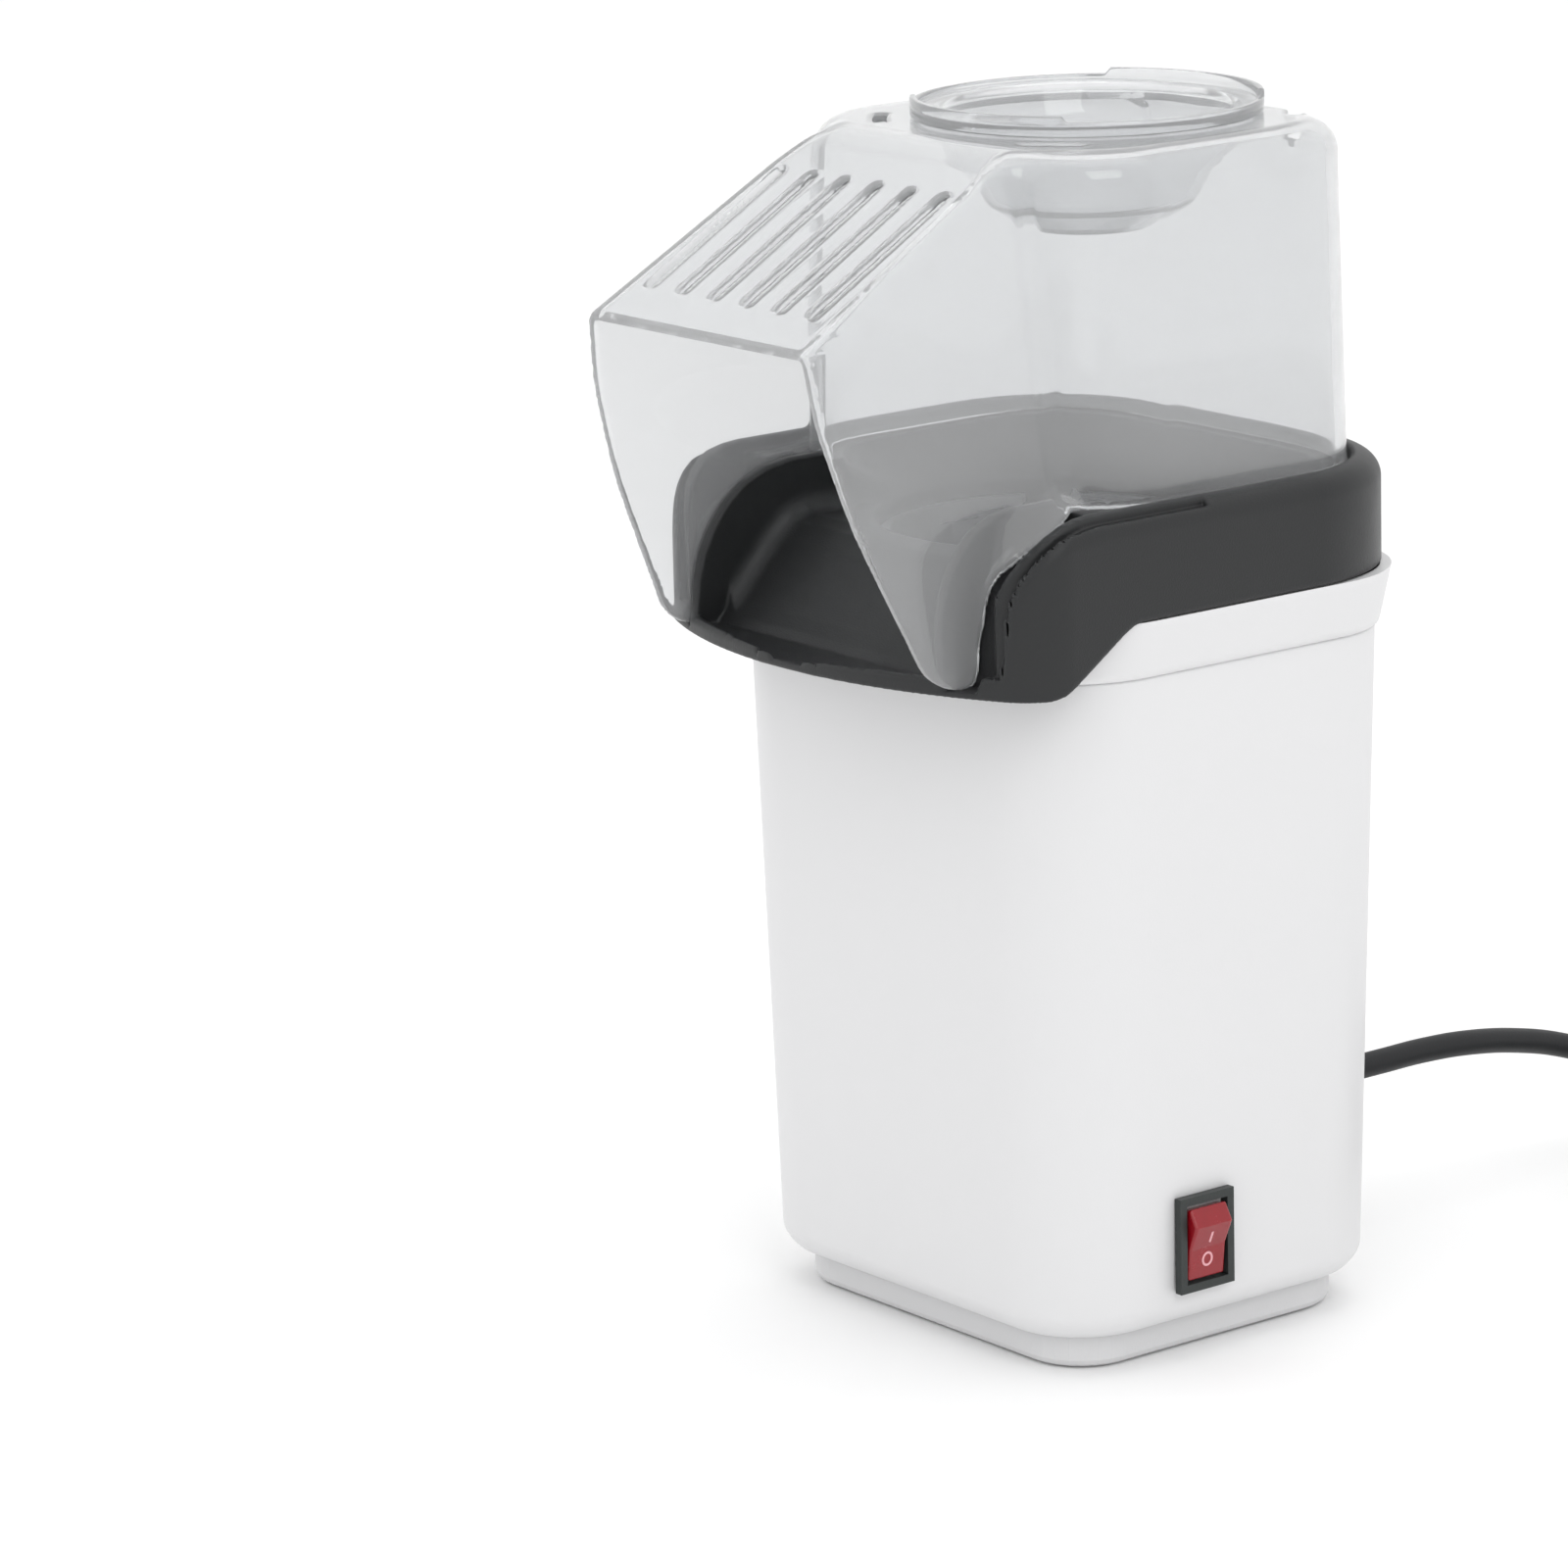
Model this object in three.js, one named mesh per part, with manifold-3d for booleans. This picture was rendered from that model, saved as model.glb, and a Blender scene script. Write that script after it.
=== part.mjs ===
// A small hot-air popcorn maker. Millimetres, +Z up.
// The pouring chute faces -Y and the switch is on the +X side.
// The origin is on the table under the middle of the machine.

import * as THREE from 'three';
import Module from 'manifold-3d';
import { mergeVertices } from 'three/addons/utils/BufferGeometryUtils.js';

// ---------------------------------------------------------------- driving dimensions

const GAP = 0.3; // between two pieces that touch
const BODY_Y = 19.9; // the body's own axis, behind the middle of the whole machine

const HOUSING = {
  bottom: 8.2, edge: 13.5, step: 151.3, top: 164.4, wall: 2.2,
  low: { a: 55.6, b: 47.2, r: 21 }, high: { a: 59.2, b: 50.3, r: 23.4 }, flare: { a: 62.4, b: 52.9, r: 26.6 },
};
const POST = { x: 24, y: 24, r: 4.2, bore: 1.9, top: 47 };
const BASE = { bottom: 0.5, floor: 3.4, top: 15.4, a: 48.7, b: 40.3, r: 14, wall: 2.2 };
const FOOT = { x: 33, y: 25, r: 4.6, recess: 1.2 };

const COLLAR = {
  low: 149.4, side: 164.7, top: 190, ledge: 187, wall: 2.4, rim: 6.2, lip: 155.2, floor: 151.9,
};
const PLAN = { half: 63.5, back: 56.5, backR: 38, cornerR: 14.5, cornerX: 49, bulgeR: 127, bulgeY: 52 };
const CHAMBER = {
  r: 38, wall: 1, bottom: 126, rim: 169.7, lip: 40.4, flange: 47, front: -41.2, holes: 44,
};
const SPOUT = { half: 36.5, at: 225, flare: 0.123 }; // half width at one height, and its change per mm
const CHUTE = { // half widths, and where they start; its own walls stand inside the hood's cheeks
  channel: 42.6, from: -41, mouth: 46, to: -58, notch: 48.4, wallIn: 36.9, wallOut: 38.7,
};
const HOOD = { wall: 2, deck: 258.8, seat: 187.3, slopeY: -38.8, noseY: -95.5, noseZ: 226 };
const CUP = { y: 9.6, rim: 37.6, hole: 34 };

const SWITCH = { x: 56.5, y: -11, z: 26.6, width: 15, height: 21, proud: 1.9, tilt: 8 };
const MOTOR = { r: 14, bottom: 16, top: 48 };
const FAN = { r: 32, floor: 50, top: 88, drum: 37 };

const CORD = { d: 5.8, z: 33, y: 76.3 };
const COIL = { x: 60, y: 166, r: 31, inner: 24.8, outer: 37.2, height: 12 };
const PLUG = { x: 94.1, y: 139, z: 6.6 };

// ---------------------------------------------------------------- geometry helpers

const wasm = await Module();
wasm.setup();

const v2 = (x, y) => new THREE.Vector2(x, y);
const rad = THREE.MathUtils.degToRad;

/** The same geometry with shared vertices, no empty triangles and its faces pointing out. */
function closed(geometry) {
  let g = geometry.clone();
  for (const name of ['normal', 'uv']) g.deleteAttribute(name);
  g = mergeVertices(g, 1e-4);
  const p = g.getAttribute('position');
  const index = Array.from(g.index.array);
  const kept = [];
  let volume = 0;
  const [a, b, c] = [new THREE.Vector3(), new THREE.Vector3(), new THREE.Vector3()];
  for (let i = 0; i < index.length; i += 3) {
    const [i0, i1, i2] = index.slice(i, i + 3);
    if (i0 === i1 || i1 === i2 || i2 === i0) continue;
    kept.push(i0, i1, i2);
    [a, b, c].forEach((corner, k) => corner.fromBufferAttribute(p, [i0, i1, i2][k]));
    volume += a.dot(b.cross(c));
  }
  if (volume < 0) kept.reverse();
  g.setIndex(kept);
  return g;
}

/** A closed geometry as a manifold solid. */
function solid(geometry) {
  const g = closed(geometry);
  return new wasm.Manifold(new wasm.Mesh({
    numProp: 3,
    vertProperties: new Float32Array(g.getAttribute('position').array),
    triVerts: new Uint32Array(g.index.array),
  }));
}

/** A manifold solid back as a geometry. */
function geometryOf(manifold) {
  const mesh = manifold.getMesh();
  const g = new THREE.BufferGeometry();
  g.setAttribute('position', new THREE.BufferAttribute(new Float32Array(mesh.vertProperties), 3));
  g.setIndex(Array.from(mesh.triVerts));
  return g;
}

/** Skins rings of points, each given from below to above; a sleeve joins its last ring to its first. */
function skin(rings, sleeve = false) {
  const n = rings[0].length;
  const points = rings.flat();
  const index = [];
  const last = sleeve ? rings.length : rings.length - 1;
  for (let k = 0; k < last; k += 1) {
    const [low, high] = [k * n, ((k + 1) % rings.length) * n];
    for (let i = 0; i < n; i += 1) {
      const j = (i + 1) % n;
      index.push(low + i, low + j, high + j, low + i, high + j, high + i);
    }
  }
  if (!sleeve) {
    for (const [ring, start] of [[rings[0], 0], [rings.at(-1), (rings.length - 1) * n]]) {
      const faces = THREE.ShapeUtils.triangulateShape(ring.map((p) => v2(p.x, p.y)), []);
      for (const [i, j, k] of faces) index.push(...(start ? [i, j, k] : [k, j, i]).map((m) => m + start));
    }
  }
  const g = new THREE.BufferGeometry().setFromPoints(points);
  g.setIndex(index);
  return g;
}

/** Points of a rounded rectangle with half sides a and b, counterclockwise. */
function roundedRect({ a, b, r }, steps = 7) {
  const points = [];
  [[1, 1, 0], [-1, 1, 90], [-1, -1, 180], [1, -1, 270]].forEach(([sx, sy, from]) => {
    for (let i = 0; i <= steps; i += 1) {
      const t = rad(from + (90 * i) / steps);
      points.push(v2(sx * (a - r) + r * Math.cos(t), sy * (b - r) + r * Math.sin(t)));
    }
  });
  return points;
}

const inset = ({ a, b, r }, d) => ({ a: a - d, b: b - d, r: Math.max(r - d, 1) });
const at = (points, z, y = 0) => points.map((p) => new THREE.Vector3(p.x, p.y + y, z));

/** The outline of side profile points (y, z), extruded along X from -half to half. */
function acrossX(points, half, middle = 0) {
  const g = new THREE.ExtrudeGeometry(new THREE.Shape(points.map(([y, z]) => v2(y, z))),
    { depth: 2 * half, bevelEnabled: false });
  const axes = new THREE.Matrix4().makeBasis(
    new THREE.Vector3(0, 1, 0), new THREE.Vector3(0, 0, 1), new THREE.Vector3(1, 0, 0));
  return g.applyMatrix4(axes).translate(middle - half, 0, 0);
}

/** The outline of front profile points (x, z), extruded along Y from y0 to y1. */
function alongY(points, y0, y1) {
  const g = new THREE.ExtrudeGeometry(new THREE.Shape(points.map(([x, z]) => v2(x, z))),
    { depth: y1 - y0, bevelEnabled: false });
  return g.rotateX(Math.PI / 2).translate(0, y1, 0);
}

/** Profile points (r, z) turned round the Z axis. */
function turned(profile, segments = 40) {
  return new THREE.LatheGeometry(profile.map(([r, z]) => v2(r, z)), segments).rotateX(Math.PI / 2);
}

const cylinder = (r, z0, z1, segments = 24) => turned([[0, z0], [r, z0], [r, z1], [0, z1]], segments);
const box = (x0, x1, y0, y1, z0, z1) => new THREE.BoxGeometry(x1 - x0, y1 - y0, z1 - z0)
  .translate((x0 + x1) / 2, (y0 + y1) / 2, (z0 + z1) / 2);

/** A round section swept along smooth points. */
function tube(points, r, sides, steps) {
  const section = new THREE.Shape();
  for (let i = 0; i < sides; i += 1) {
    const t = (2 * Math.PI * i) / sides;
    section[i ? 'lineTo' : 'moveTo'](r * Math.cos(t), r * Math.sin(t));
  }
  section.closePath();
  const path = new THREE.CatmullRomCurve3(points.map((p) => new THREE.Vector3(...p)), false, 'centripetal');
  return new THREE.ExtrudeGeometry(section, { steps, extrudePath: path, bevelEnabled: false });
}

/** A coil of wire round the Z axis, from radius r0 at z0 to r1 at z1. */
function helix(r0, r1, z0, z1, turns, wire) {
  const count = Math.round(turns * 12);
  const points = Array.from({ length: count + 1 }, (_, i) => {
    const [k, t] = [i / count, (2 * Math.PI * turns * i) / count];
    const r = r0 + (r1 - r0) * k;
    return [r * Math.cos(t), r * Math.sin(t), z0 + (z1 - z0) * k];
  });
  return tube(points, wire, 4, count);
}

// ---------------------------------------------------------------- materials and the tree

const material = (color, roughness, metalness = 0, opacity = 1) => new THREE.MeshStandardMaterial({
  color, roughness, metalness, opacity, transparent: opacity < 1,
});
const LOOK = {
  shell: () => material(0xe6e7e8, 0.42),
  base: () => material(0xe0e1e2, 0.5),
  charcoal: () => material(0x3d3d3f, 0.5),
  clear: () => material(0xe9edef, 0.08, 0, 0.3),
  black: () => material(0x232425, 0.45),
  red: () => material(0xa3202f, 0.2, 0, 0.85),
  rubber: () => material(0x262626, 0.85),
  aluminium: () => material(0xc6c8ca, 0.4, 1),
  steel: () => material(0xb3b5b7, 0.35, 1),
  brass: () => material(0xc9a45a, 0.35, 1),
  mica: () => material(0xb39a6b, 0.6),
  board: () => material(0xa07a3f, 0.6),
  inner: () => material(0xd8d5cc, 0.55),
  magnet: () => material(0x3a3a3e, 0.7),
  sleeve: () => material(0x7c1d20, 0.5),
};

const machine = new THREE.Group();
const body = new THREE.Group(); // everything is placed round the body's own axis
body.position.y = BODY_Y;
machine.add(body);

function add(name, geometry, look, parent = body) {
  const mesh = new THREE.Mesh(closed(geometry), LOOK[look]());
  mesh.name = name;
  parent.add(mesh);
  return mesh;
}

// ---------------------------------------------------------------- housing and base

const CORNERS = [['front_left', -1, -1], ['front_right', 1, -1], ['rear_left', -1, 1], ['rear_right', 1, 1]];

/** The rings of the housing's outside, d inside it. */
function housingRings(d) {
  const { bottom, edge, step, top, low, high, flare } = HOUSING;
  const ring = (size, more, z) => at(roundedRect(inset(size, d + more)), z);
  return [
    ring(low, 5, bottom), ring(low, 2.7, bottom + 1), ring(low, 1, bottom + 2.8), ring(low, 0, edge),
    ring(high, 0, step), ring(high, -0.8, step + 0.5), ring(flare, 0, top),
  ];
}

function housing() {
  const { wall, low, bottom, top, step } = HOUSING;
  const outside = housingRings(0);
  const inside = housingRings(wall).slice(2);
  inside[0].forEach((p) => { p.z += 0.4; });
  const foot = at(roundedRect(inset(low, 6.4)), bottom + wall);
  let shell = solid(skin([...outside, ...inside.reverse(), foot], true));
  for (const [, sx, sy] of CORNERS) {
    const post = solid(cylinder(POST.r, BASE.top + GAP, POST.top, 20).translate(sx * POST.x, sy * POST.y, 0));
    const web = solid(box(-1.2, 1.2, 2, 22, BASE.top + GAP, POST.top - 6)
      .rotateZ(sy > 0 ? 0 : Math.PI).translate(sx * POST.x, sy * POST.y, 0));
    const bore = solid(cylinder(POST.bore, BASE.top, 42, 12).translate(sx * POST.x, sy * POST.y, 0));
    shell = shell.add(post).add(web).subtract(bore);
  }
  const chute = [
    [-34.7, top + 9], [-34.7, top + 1], [-53.2, step + 0.1], [-90, step + 0.1], [-90, top + 9],
  ];
  const { x, y, z, width, height } = SWITCH;
  const [halfY, halfZ] = [width / 2 - 1.2, height / 2 - 1.2];
  const opening = box(x - 6, x + 6, y - halfY, y + halfY, z - halfZ, z + halfZ);
  const gland = cylinder(5, 40, 60).rotateX(-Math.PI / 2).translate(0, 0, CORD.z);
  for (const cut of [acrossX(chute, 80), opening, gland]) shell = shell.subtract(solid(cut));
  return geometryOf(shell);
}

function basePlate() {
  const { bottom, floor, top, wall } = BASE;
  const rings = [[bottom, 1.4], [bottom + 0.6, 0.5], [bottom + 1.6, 0], [top, 0]]
    .map(([z, d]) => at(roundedRect(inset(BASE, d)), z));
  const hollow = [[floor, 1.2], [floor + 1.2, 0], [top + 1, 0]]
    .map(([z, d]) => at(roundedRect(inset(BASE, wall + d)), z));
  let plate = solid(skin(rings)).subtract(solid(skin(hollow)));
  for (const [, sx, sy] of CORNERS) {
    const place = (g) => solid(g.translate(sx * POST.x, sy * POST.y, 0));
    const boss = place(cylinder(POST.r, BASE.floor - 1, BASE.top, 16));
    const hole = place(turned([[0, 0], [4, 0], [4, 5], [2, 5], [2, 20], [0, 20]], 12));
    const recess = solid(cylinder(FOOT.r + GAP, 0, BASE.bottom + FOOT.recess, 16)
      .translate(sx * FOOT.x, sy * FOOT.y, 0));
    plate = plate.add(boss).subtract(hole).subtract(recess);
  }
  for (let i = -3; i <= 3; i += 1) {
    const half = 17.5 - Math.abs(i) * 1.6;
    plate = plate.subtract(solid(box(i * 6 - 1.6, i * 6 + 1.6, -half, half, 0, BASE.floor + 1)));
  }
  return geometryOf(plate);
}

add('base_plate', basePlate(), 'base');
add('housing', housing(), 'shell');
CORNERS.forEach(([name, sx, sy], i) => {
  const top = BASE.bottom + FOOT.recess - GAP;
  const foot = turned([[0, 0], [FOOT.r - 0.5, 0], [FOOT.r, 0.4], [FOOT.r, top], [0, top]], 16);
  add(`foot_${name}`, foot.translate(sx * FOOT.x, sy * FOOT.y, 0), 'rubber');
  const screw = turned([[0, 2.4], [3.2, 2.4], [3.4, 4.7], [1.5, 4.7], [1.5, 36], [0.4, 38], [0, 38]], 10);
  add(`base_screw_${i + 1}`, screw.translate(sx * POST.x, sy * POST.y, 0), 'steel');
});

// ---------------------------------------------------------------- collar with the chute

/** The collar's outline from above, d inside its outside. */
function collarPlan(d) {
  const { half, back, backR, cornerR, cornerX, bulgeR, bulgeY } = PLAN;
  const cornerY = bulgeY - Math.sqrt((bulgeR - cornerR) ** 2 - cornerX ** 2);
  const meet = Math.atan2(bulgeY - cornerY, cornerX); // where the corner's arc meets the bulging front
  const arc = (x, y, r, from, to, steps) => Array.from({ length: steps + 1 }, (_, i) => {
    const t = from + ((to - from) * i) / steps;
    return v2(x + (r - d) * Math.cos(t), y + (r - d) * Math.sin(t));
  });
  return [
    ...arc(0, bulgeY, bulgeR, -Math.PI + meet, -meet, 12).slice(0, -1),
    ...arc(cornerX, cornerY, cornerR, -meet, 0, 5),
    ...arc(half - backR, back - backR, backR, 0, Math.PI / 2, 9),
    ...arc(backR - half, back - backR, backR, Math.PI / 2, Math.PI, 9),
    ...arc(-cornerX, cornerY, cornerR, Math.PI, Math.PI + meet, 5).slice(0, -1),
  ];
}

/** The chute, grown by g: a channel out of the bowl, wide between the shoulders, and open over the lip. */
function chuteSides(g) {
  const upright = (half, y0, y1) => solid(box(-half - g, half + g, y0 - g, y1 + g, 140, 196));
  const shoulders = solid(skin([at(collarPlan(COLLAR.rim - g), 140), at(collarPlan(COLLAR.rim - g), 196)]));
  return upright(CHUTE.channel, -95, 0)
    .add(shoulders.intersect(upright(80, -95, CHUTE.from)))
    .add(upright(CHUTE.mouth, -95, CHUTE.to));
}

/** The funnel over the chamber and the chute out of it, grown by g on every side. */
function funnel(g) {
  const circle = (r) => roundedRect({ a: r, b: r, r });
  const mouth = roundedRect({ a: 49.5 + g, b: 38.25 + g, r: 22 + g });
  const bowl = skin([
    at(circle(39 + g), 160), at(circle(39 + g), 174), at(mouth, 186, 6.25), at(mouth, 196, 6.25),
  ]);
  const { lip, floor } = COLLAR;
  const trough = [
    [0, 196], [0, 173.4 - g], [-43.5, 173.4 - g], [-62, floor + 0.5 - g], [-80, floor - g], [-80, 196],
  ];
  const rimInside = skin([at(collarPlan(1.9 - g), 140), at(collarPlan(1.9 - g), lip + 1)]);
  const overLip = skin([at(collarPlan(-9), lip - g), at(collarPlan(-9), 198)]);
  const chute = solid(acrossX(trough, 60)).intersect(chuteSides(g));
  return solid(bowl).add(chute.intersect(solid(rimInside))).add(chute.intersect(solid(overLip)));
}

/** The collar's side profile (y, z), d inside it: level top, falling shoulder, low lip. */
const collarSide = (d) => [
  [70, 140], [70, COLLAR.top - d], [-46 + d, COLLAR.top - d], [-51 + d, 189.4 - d], [-54.2 + d, 188 - d],
  [-57.2 + d, 185.6 - d], [-59.6 + d, 182.6 - d], [-61.6 + d, 178.6 - d], [-63 + d, 174], [-63.8 + d, 169],
  [-64.2 + d, 164], [-64.2 + d, COLLAR.lip], [-80, COLLAR.lip], [-80, 140],
];

/** The chute's own side walls, and the notches beside its floor for the hood's feet (y, z). */
const CHUTE_WALL = [
  [-36.5, 173], [-36.5, 185.6], [-46, 185.2], [-51.5, 183.4], [-55.4, 180.4], [-58, 176.4], [-59.4, 171],
  [-60, 163], [-60.2, 151.6], [-59.4, 153], [-43.2, 171.6],
];
const CHUTE_NOTCH = [
  [-80, COLLAR.floor + 0.4], [CHUTE.to - 2, COLLAR.floor + 0.4],
  [CHUTE.to - 2, COLLAR.top], [-80, COLLAR.top],
];

function collar() {
  const { low, side, top, ledge, wall, rim } = COLLAR;
  const rings = [[low, 1.4], [low + 0.8, 0.4], [low + 2.2, 0], [183, 0], [186.6, 0.7], [188.9, 2.4], [top, 5]]
    .map(([z, d]) => at(collarPlan(d), z));
  const block = solid(skin(rings)).intersect(solid(acrossX(collarSide(0), 80)));
  const below = [[70, 130], [70, side], [-34.7, side], [-53.2, 151.7], [-53.2, 130]];
  const inside = solid(skin([at(collarPlan(wall), 120), at(collarPlan(wall), ledge - wall)]))
    .intersect(solid(acrossX([
      [60, 120], ...collarSide(wall + 0.4).slice(1, 11), [-61.4, 154.4], [-61.4, 120],
    ], 80)));
  const seat = solid(skin([at(collarPlan(rim), ledge), at(collarPlan(rim), top + 5)]))
    .intersect(solid(box(-70, 70, -39, 70, ledge, top + 5)));
  const under = solid(cylinder(CHAMBER.flange + 0.5, 120, CHAMBER.rim + 1 + GAP, 48))
    .intersect(solid(box(-60, 60, CHAMBER.front - 0.4, 60, 110, 180)));
  let ring = block.subtract(funnel(0)).subtract(inside.subtract(funnel(wall))).subtract(seat)
    .subtract(under).subtract(solid(acrossX(below, 80)));
  for (const side of [-1, 1]) {
    const slab = (profile, x0, x1) => solid(acrossX(profile, (x1 - x0) / 2, (side * (x0 + x1)) / 2));
    ring = ring.subtract(slab(CHUTE_NOTCH, CHUTE.channel, CHUTE.notch))
      .add(slab(CHUTE_WALL, CHUTE.wallIn, CHUTE.wallOut));
  }
  for (let i = 0; i < 4; i += 1) {
    const t = rad(45 + 90 * i);
    const [x, y] = [CHAMBER.holes * Math.cos(t), CHAMBER.holes * Math.sin(t)];
    const boss = solid(cylinder(3.2, CHAMBER.rim, 176, 16).translate(x, y, 0));
    const bore = solid(cylinder(1.5, CHAMBER.rim - 1, 174.5, 12).translate(x, y, 0));
    ring = ring.add(boss.subtract(funnel(0))).subtract(bore);
  }
  return geometryOf(ring);
}

add('chute_collar', collar(), 'charcoal');

// ---------------------------------------------------------------- popping chamber and heater

function chamber() {
  const { r, wall, bottom, rim, lip } = CHAMBER;
  let can = solid(turned([
    [0, bottom + 7], [6, bottom + 6], [12, bottom + 2], [20, bottom], [r - 4, bottom], [r, bottom + 4],
    [r, rim],
    [lip, rim], [lip, rim + 1], [r - wall, rim + 1], [r - wall, bottom + 4.5], [r - 4.4, bottom + wall],
    [20.4, bottom + wall], [12.6, bottom + 3], [6.4, bottom + 7], [0, bottom + 8],
  ], 36));
  for (let i = 0; i < 12; i += 1) {
    const slit = box(r - 3, r + 3, -1.1, 1.1, -5, 5).rotateX(rad(25)).translate(0, 0, bottom + 11);
    slit.rotateZ((i * Math.PI) / 6);
    can = can.subtract(solid(slit));
  }
  return geometryOf(can);
}

/** A flange is cut flat at the front, under the top of the chute. */
const flatFront = (part) => part.intersect(solid(box(-60, 60, CHAMBER.front, 60, 60, 180)));

/** Four clearance holes on the diagonals. */
function screwHoles(radius, z0, z1) {
  let all = null;
  for (let i = 0; i < 4; i += 1) {
    const t = rad(45 + 90 * i);
    const hole = solid(cylinder(1.8, z0, z1, 12).translate(radius * Math.cos(t), radius * Math.sin(t), 0));
    all = all ? all.add(hole) : hole;
  }
  return all;
}

add('popping_chamber', chamber(), 'aluminium');
for (let i = 0; i < 4; i += 1) {
  const t = rad(45 + 90 * i);
  const screw = turned([[0, 165.6], [2.6, 165.8], [2.6, 168], [1.3, 168], [1.3, 174], [0, 174]], 12);
  screw.translate(CHAMBER.holes * Math.cos(t), CHAMBER.holes * Math.sin(t), 0);
  add(`chamber_screw_${i + 1}`, screw, 'steel');
}

/** The steel sleeve that leads the blown air past the heater to the chamber. */
function jacket() {
  const top = CHAMBER.rim - GAP;
  const sleeve = turned([
    [37.5, 82], [38.7, 82], [38.7, 89], [41, 95], [41, top - 1.2], [CHAMBER.flange, top - 1.2],
    [CHAMBER.flange, top], [39.8, top], [39.8, 95.4], [37.5, 89.4], [37.5, 82],
  ], 36);
  return geometryOf(flatFront(solid(sleeve).subtract(screwHoles(CHAMBER.holes, top - 3, top + 2))));
}

add('heater_jacket', jacket(), 'steel');

/** One of two notched plates that slide into each other as a cross. */
function micaPlate(notchUp) {
  const [half, z0, z1, middle] = [24, 92, 122, 107];
  const w = 0.8;
  const [a, b] = notchUp ? [middle - GAP, z1] : [z0, middle + GAP];
  const edge = notchUp
    ? [[-half, z0], [half, z0], [half, z1], [w, b], [w, a], [-w, a], [-w, b], [-half, z1]]
    : [[-half, z0], [-w, a], [-w, b], [w, b], [w, a], [half, z0], [half, z1], [-half, z1]];
  return alongY(edge, -0.5, 0.5);
}

add('mica_plate_a', micaPlate(true), 'mica');
add('mica_plate_b', micaPlate(false).rotateZ(Math.PI / 2), 'mica');
add('heater_coil', helix(26, 26, 96, 119, 5, 1), 'steel');
add('dropper_coil', helix(31, 31, 100, 112, 2, 0.7), 'brass');

// ---------------------------------------------------------------- fan and motor

function fanHousing() {
  const { floor, top, drum } = FAN;
  let shell = solid(turned([[9, floor], [drum, floor], [drum, top], [drum - 2, top], [drum - 2, floor + 2],
    [9, floor + 2], [9, floor]], 36));
  for (let i = 0; i < 4; i += 1) {
    const intake = box(16, 30, -7, 7, floor - 1, floor + 3).rotateZ(rad(45 + 90 * i));
    const leg = box(27, 32, -2.5, 2.5, BASE.floor + GAP, floor + 1).rotateZ((i * Math.PI) / 2);
    shell = shell.subtract(solid(intake)).add(solid(leg));
  }
  for (const x of [-11.5, 11.5]) {
    shell = shell.subtract(solid(cylinder(1.6, floor - 1, floor + 3, 12).translate(x, 0, 0)));
  }
  return geometryOf(shell);
}

function impeller() {
  const hub = [[1.8, 56], [FAN.r, 56], [FAN.r, 57.4], [6, 58], [6, 76], [1.8, 76], [1.8, 56]];
  let fan = solid(turned(hub, 32));
  for (let i = 0; i < 10; i += 1) {
    const blade = box(5, FAN.r - 0.5, -0.7, 0.7, 57, 75).rotateZ((i * Math.PI) / 5);
    fan = fan.add(solid(blade));
  }
  return geometryOf(fan);
}

add('fan_housing', fanHousing(), 'inner');
add('fan_impeller', impeller(), 'black');

function motorCan() {
  const { r, bottom, top } = MOTOR;
  let can = solid(turned([
    [3, top - 1], [r - 1, top - 1], [r - 1, bottom], [r, bottom], [r, top], [3, top], [3, top - 1],
  ], 32));
  for (const x of [-11.5, 11.5]) {
    can = can.subtract(solid(cylinder(1.5, top - 3, top + 2, 12).translate(x, 0, 0)));
  }
  return geometryOf(can);
}

add('motor_can', motorCan(), 'steel');
add('motor_end_cap', turned([[2, 13], [13.6, 13], [13.6, 15.7], [2, 15.7], [2, 13]], 32), 'black');
for (const [name, turn] of [['magnet_rear', 0], ['magnet_front', 180]]) {
  const arc = new THREE.Shape();
  arc.absarc(0, 0, 12.7, rad(-62), rad(62), false);
  arc.absarc(0, 0, 10.4, rad(62), rad(-62), true);
  arc.closePath();
  const magnet = new THREE.ExtrudeGeometry(arc, { depth: 22, bevelEnabled: false, curveSegments: 10 });
  add(name, magnet.rotateZ(rad(turn + 90)).translate(0, 0, 20), 'magnet');
}
[-11.5, 11.5].forEach((x, i) => {
  const screw = turned([[0, 44.6], [1.2, 44.6], [1.2, 52.3], [2.6, 52.3], [2.4, 54], [0, 54.2]], 12);
  add(`motor_screw_${i + 1}`, screw.translate(x, 0, 0), 'steel');
});
add('motor_rotor', turned([[1.8, 20], [9.8, 20], [9.8, 42], [1.8, 42], [1.8, 20]], 24), 'brass');
add('motor_shaft', cylinder(1.5, 11, 78, 16), 'steel');

// ---------------------------------------------------------------- electrics

const BOARD = { x: -24, thick: 1.6, half: 13, z0: 14, z1: 40 };
const board = box(BOARD.x, BOARD.x + BOARD.thick, -BOARD.half, BOARD.half, BOARD.z0, BOARD.z1);
add('rectifier_board', board, 'board');
[[-9, 20], [-9, 32], [9, 20], [9, 32]].forEach(([y, z], i) => {
  add(`diode_${i + 1}`, cylinder(1.5, z - 3.6, z + 3.6, 12).translate(BOARD.x - 1.5 - GAP, y, 0), 'black');
});
const disc = turned([[0, 0], [8, 0], [8, 3.5], [5.5, 5], [5.5, 8], [0, 8]], 24);
add('thermostat', disc.rotateY(Math.PI / 2).translate(41.4, 0, 118), 'black');
add('thermal_fuse', cylinder(2, 111, 125, 12).translate(-43.6, 0, 0), 'steel');

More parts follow.
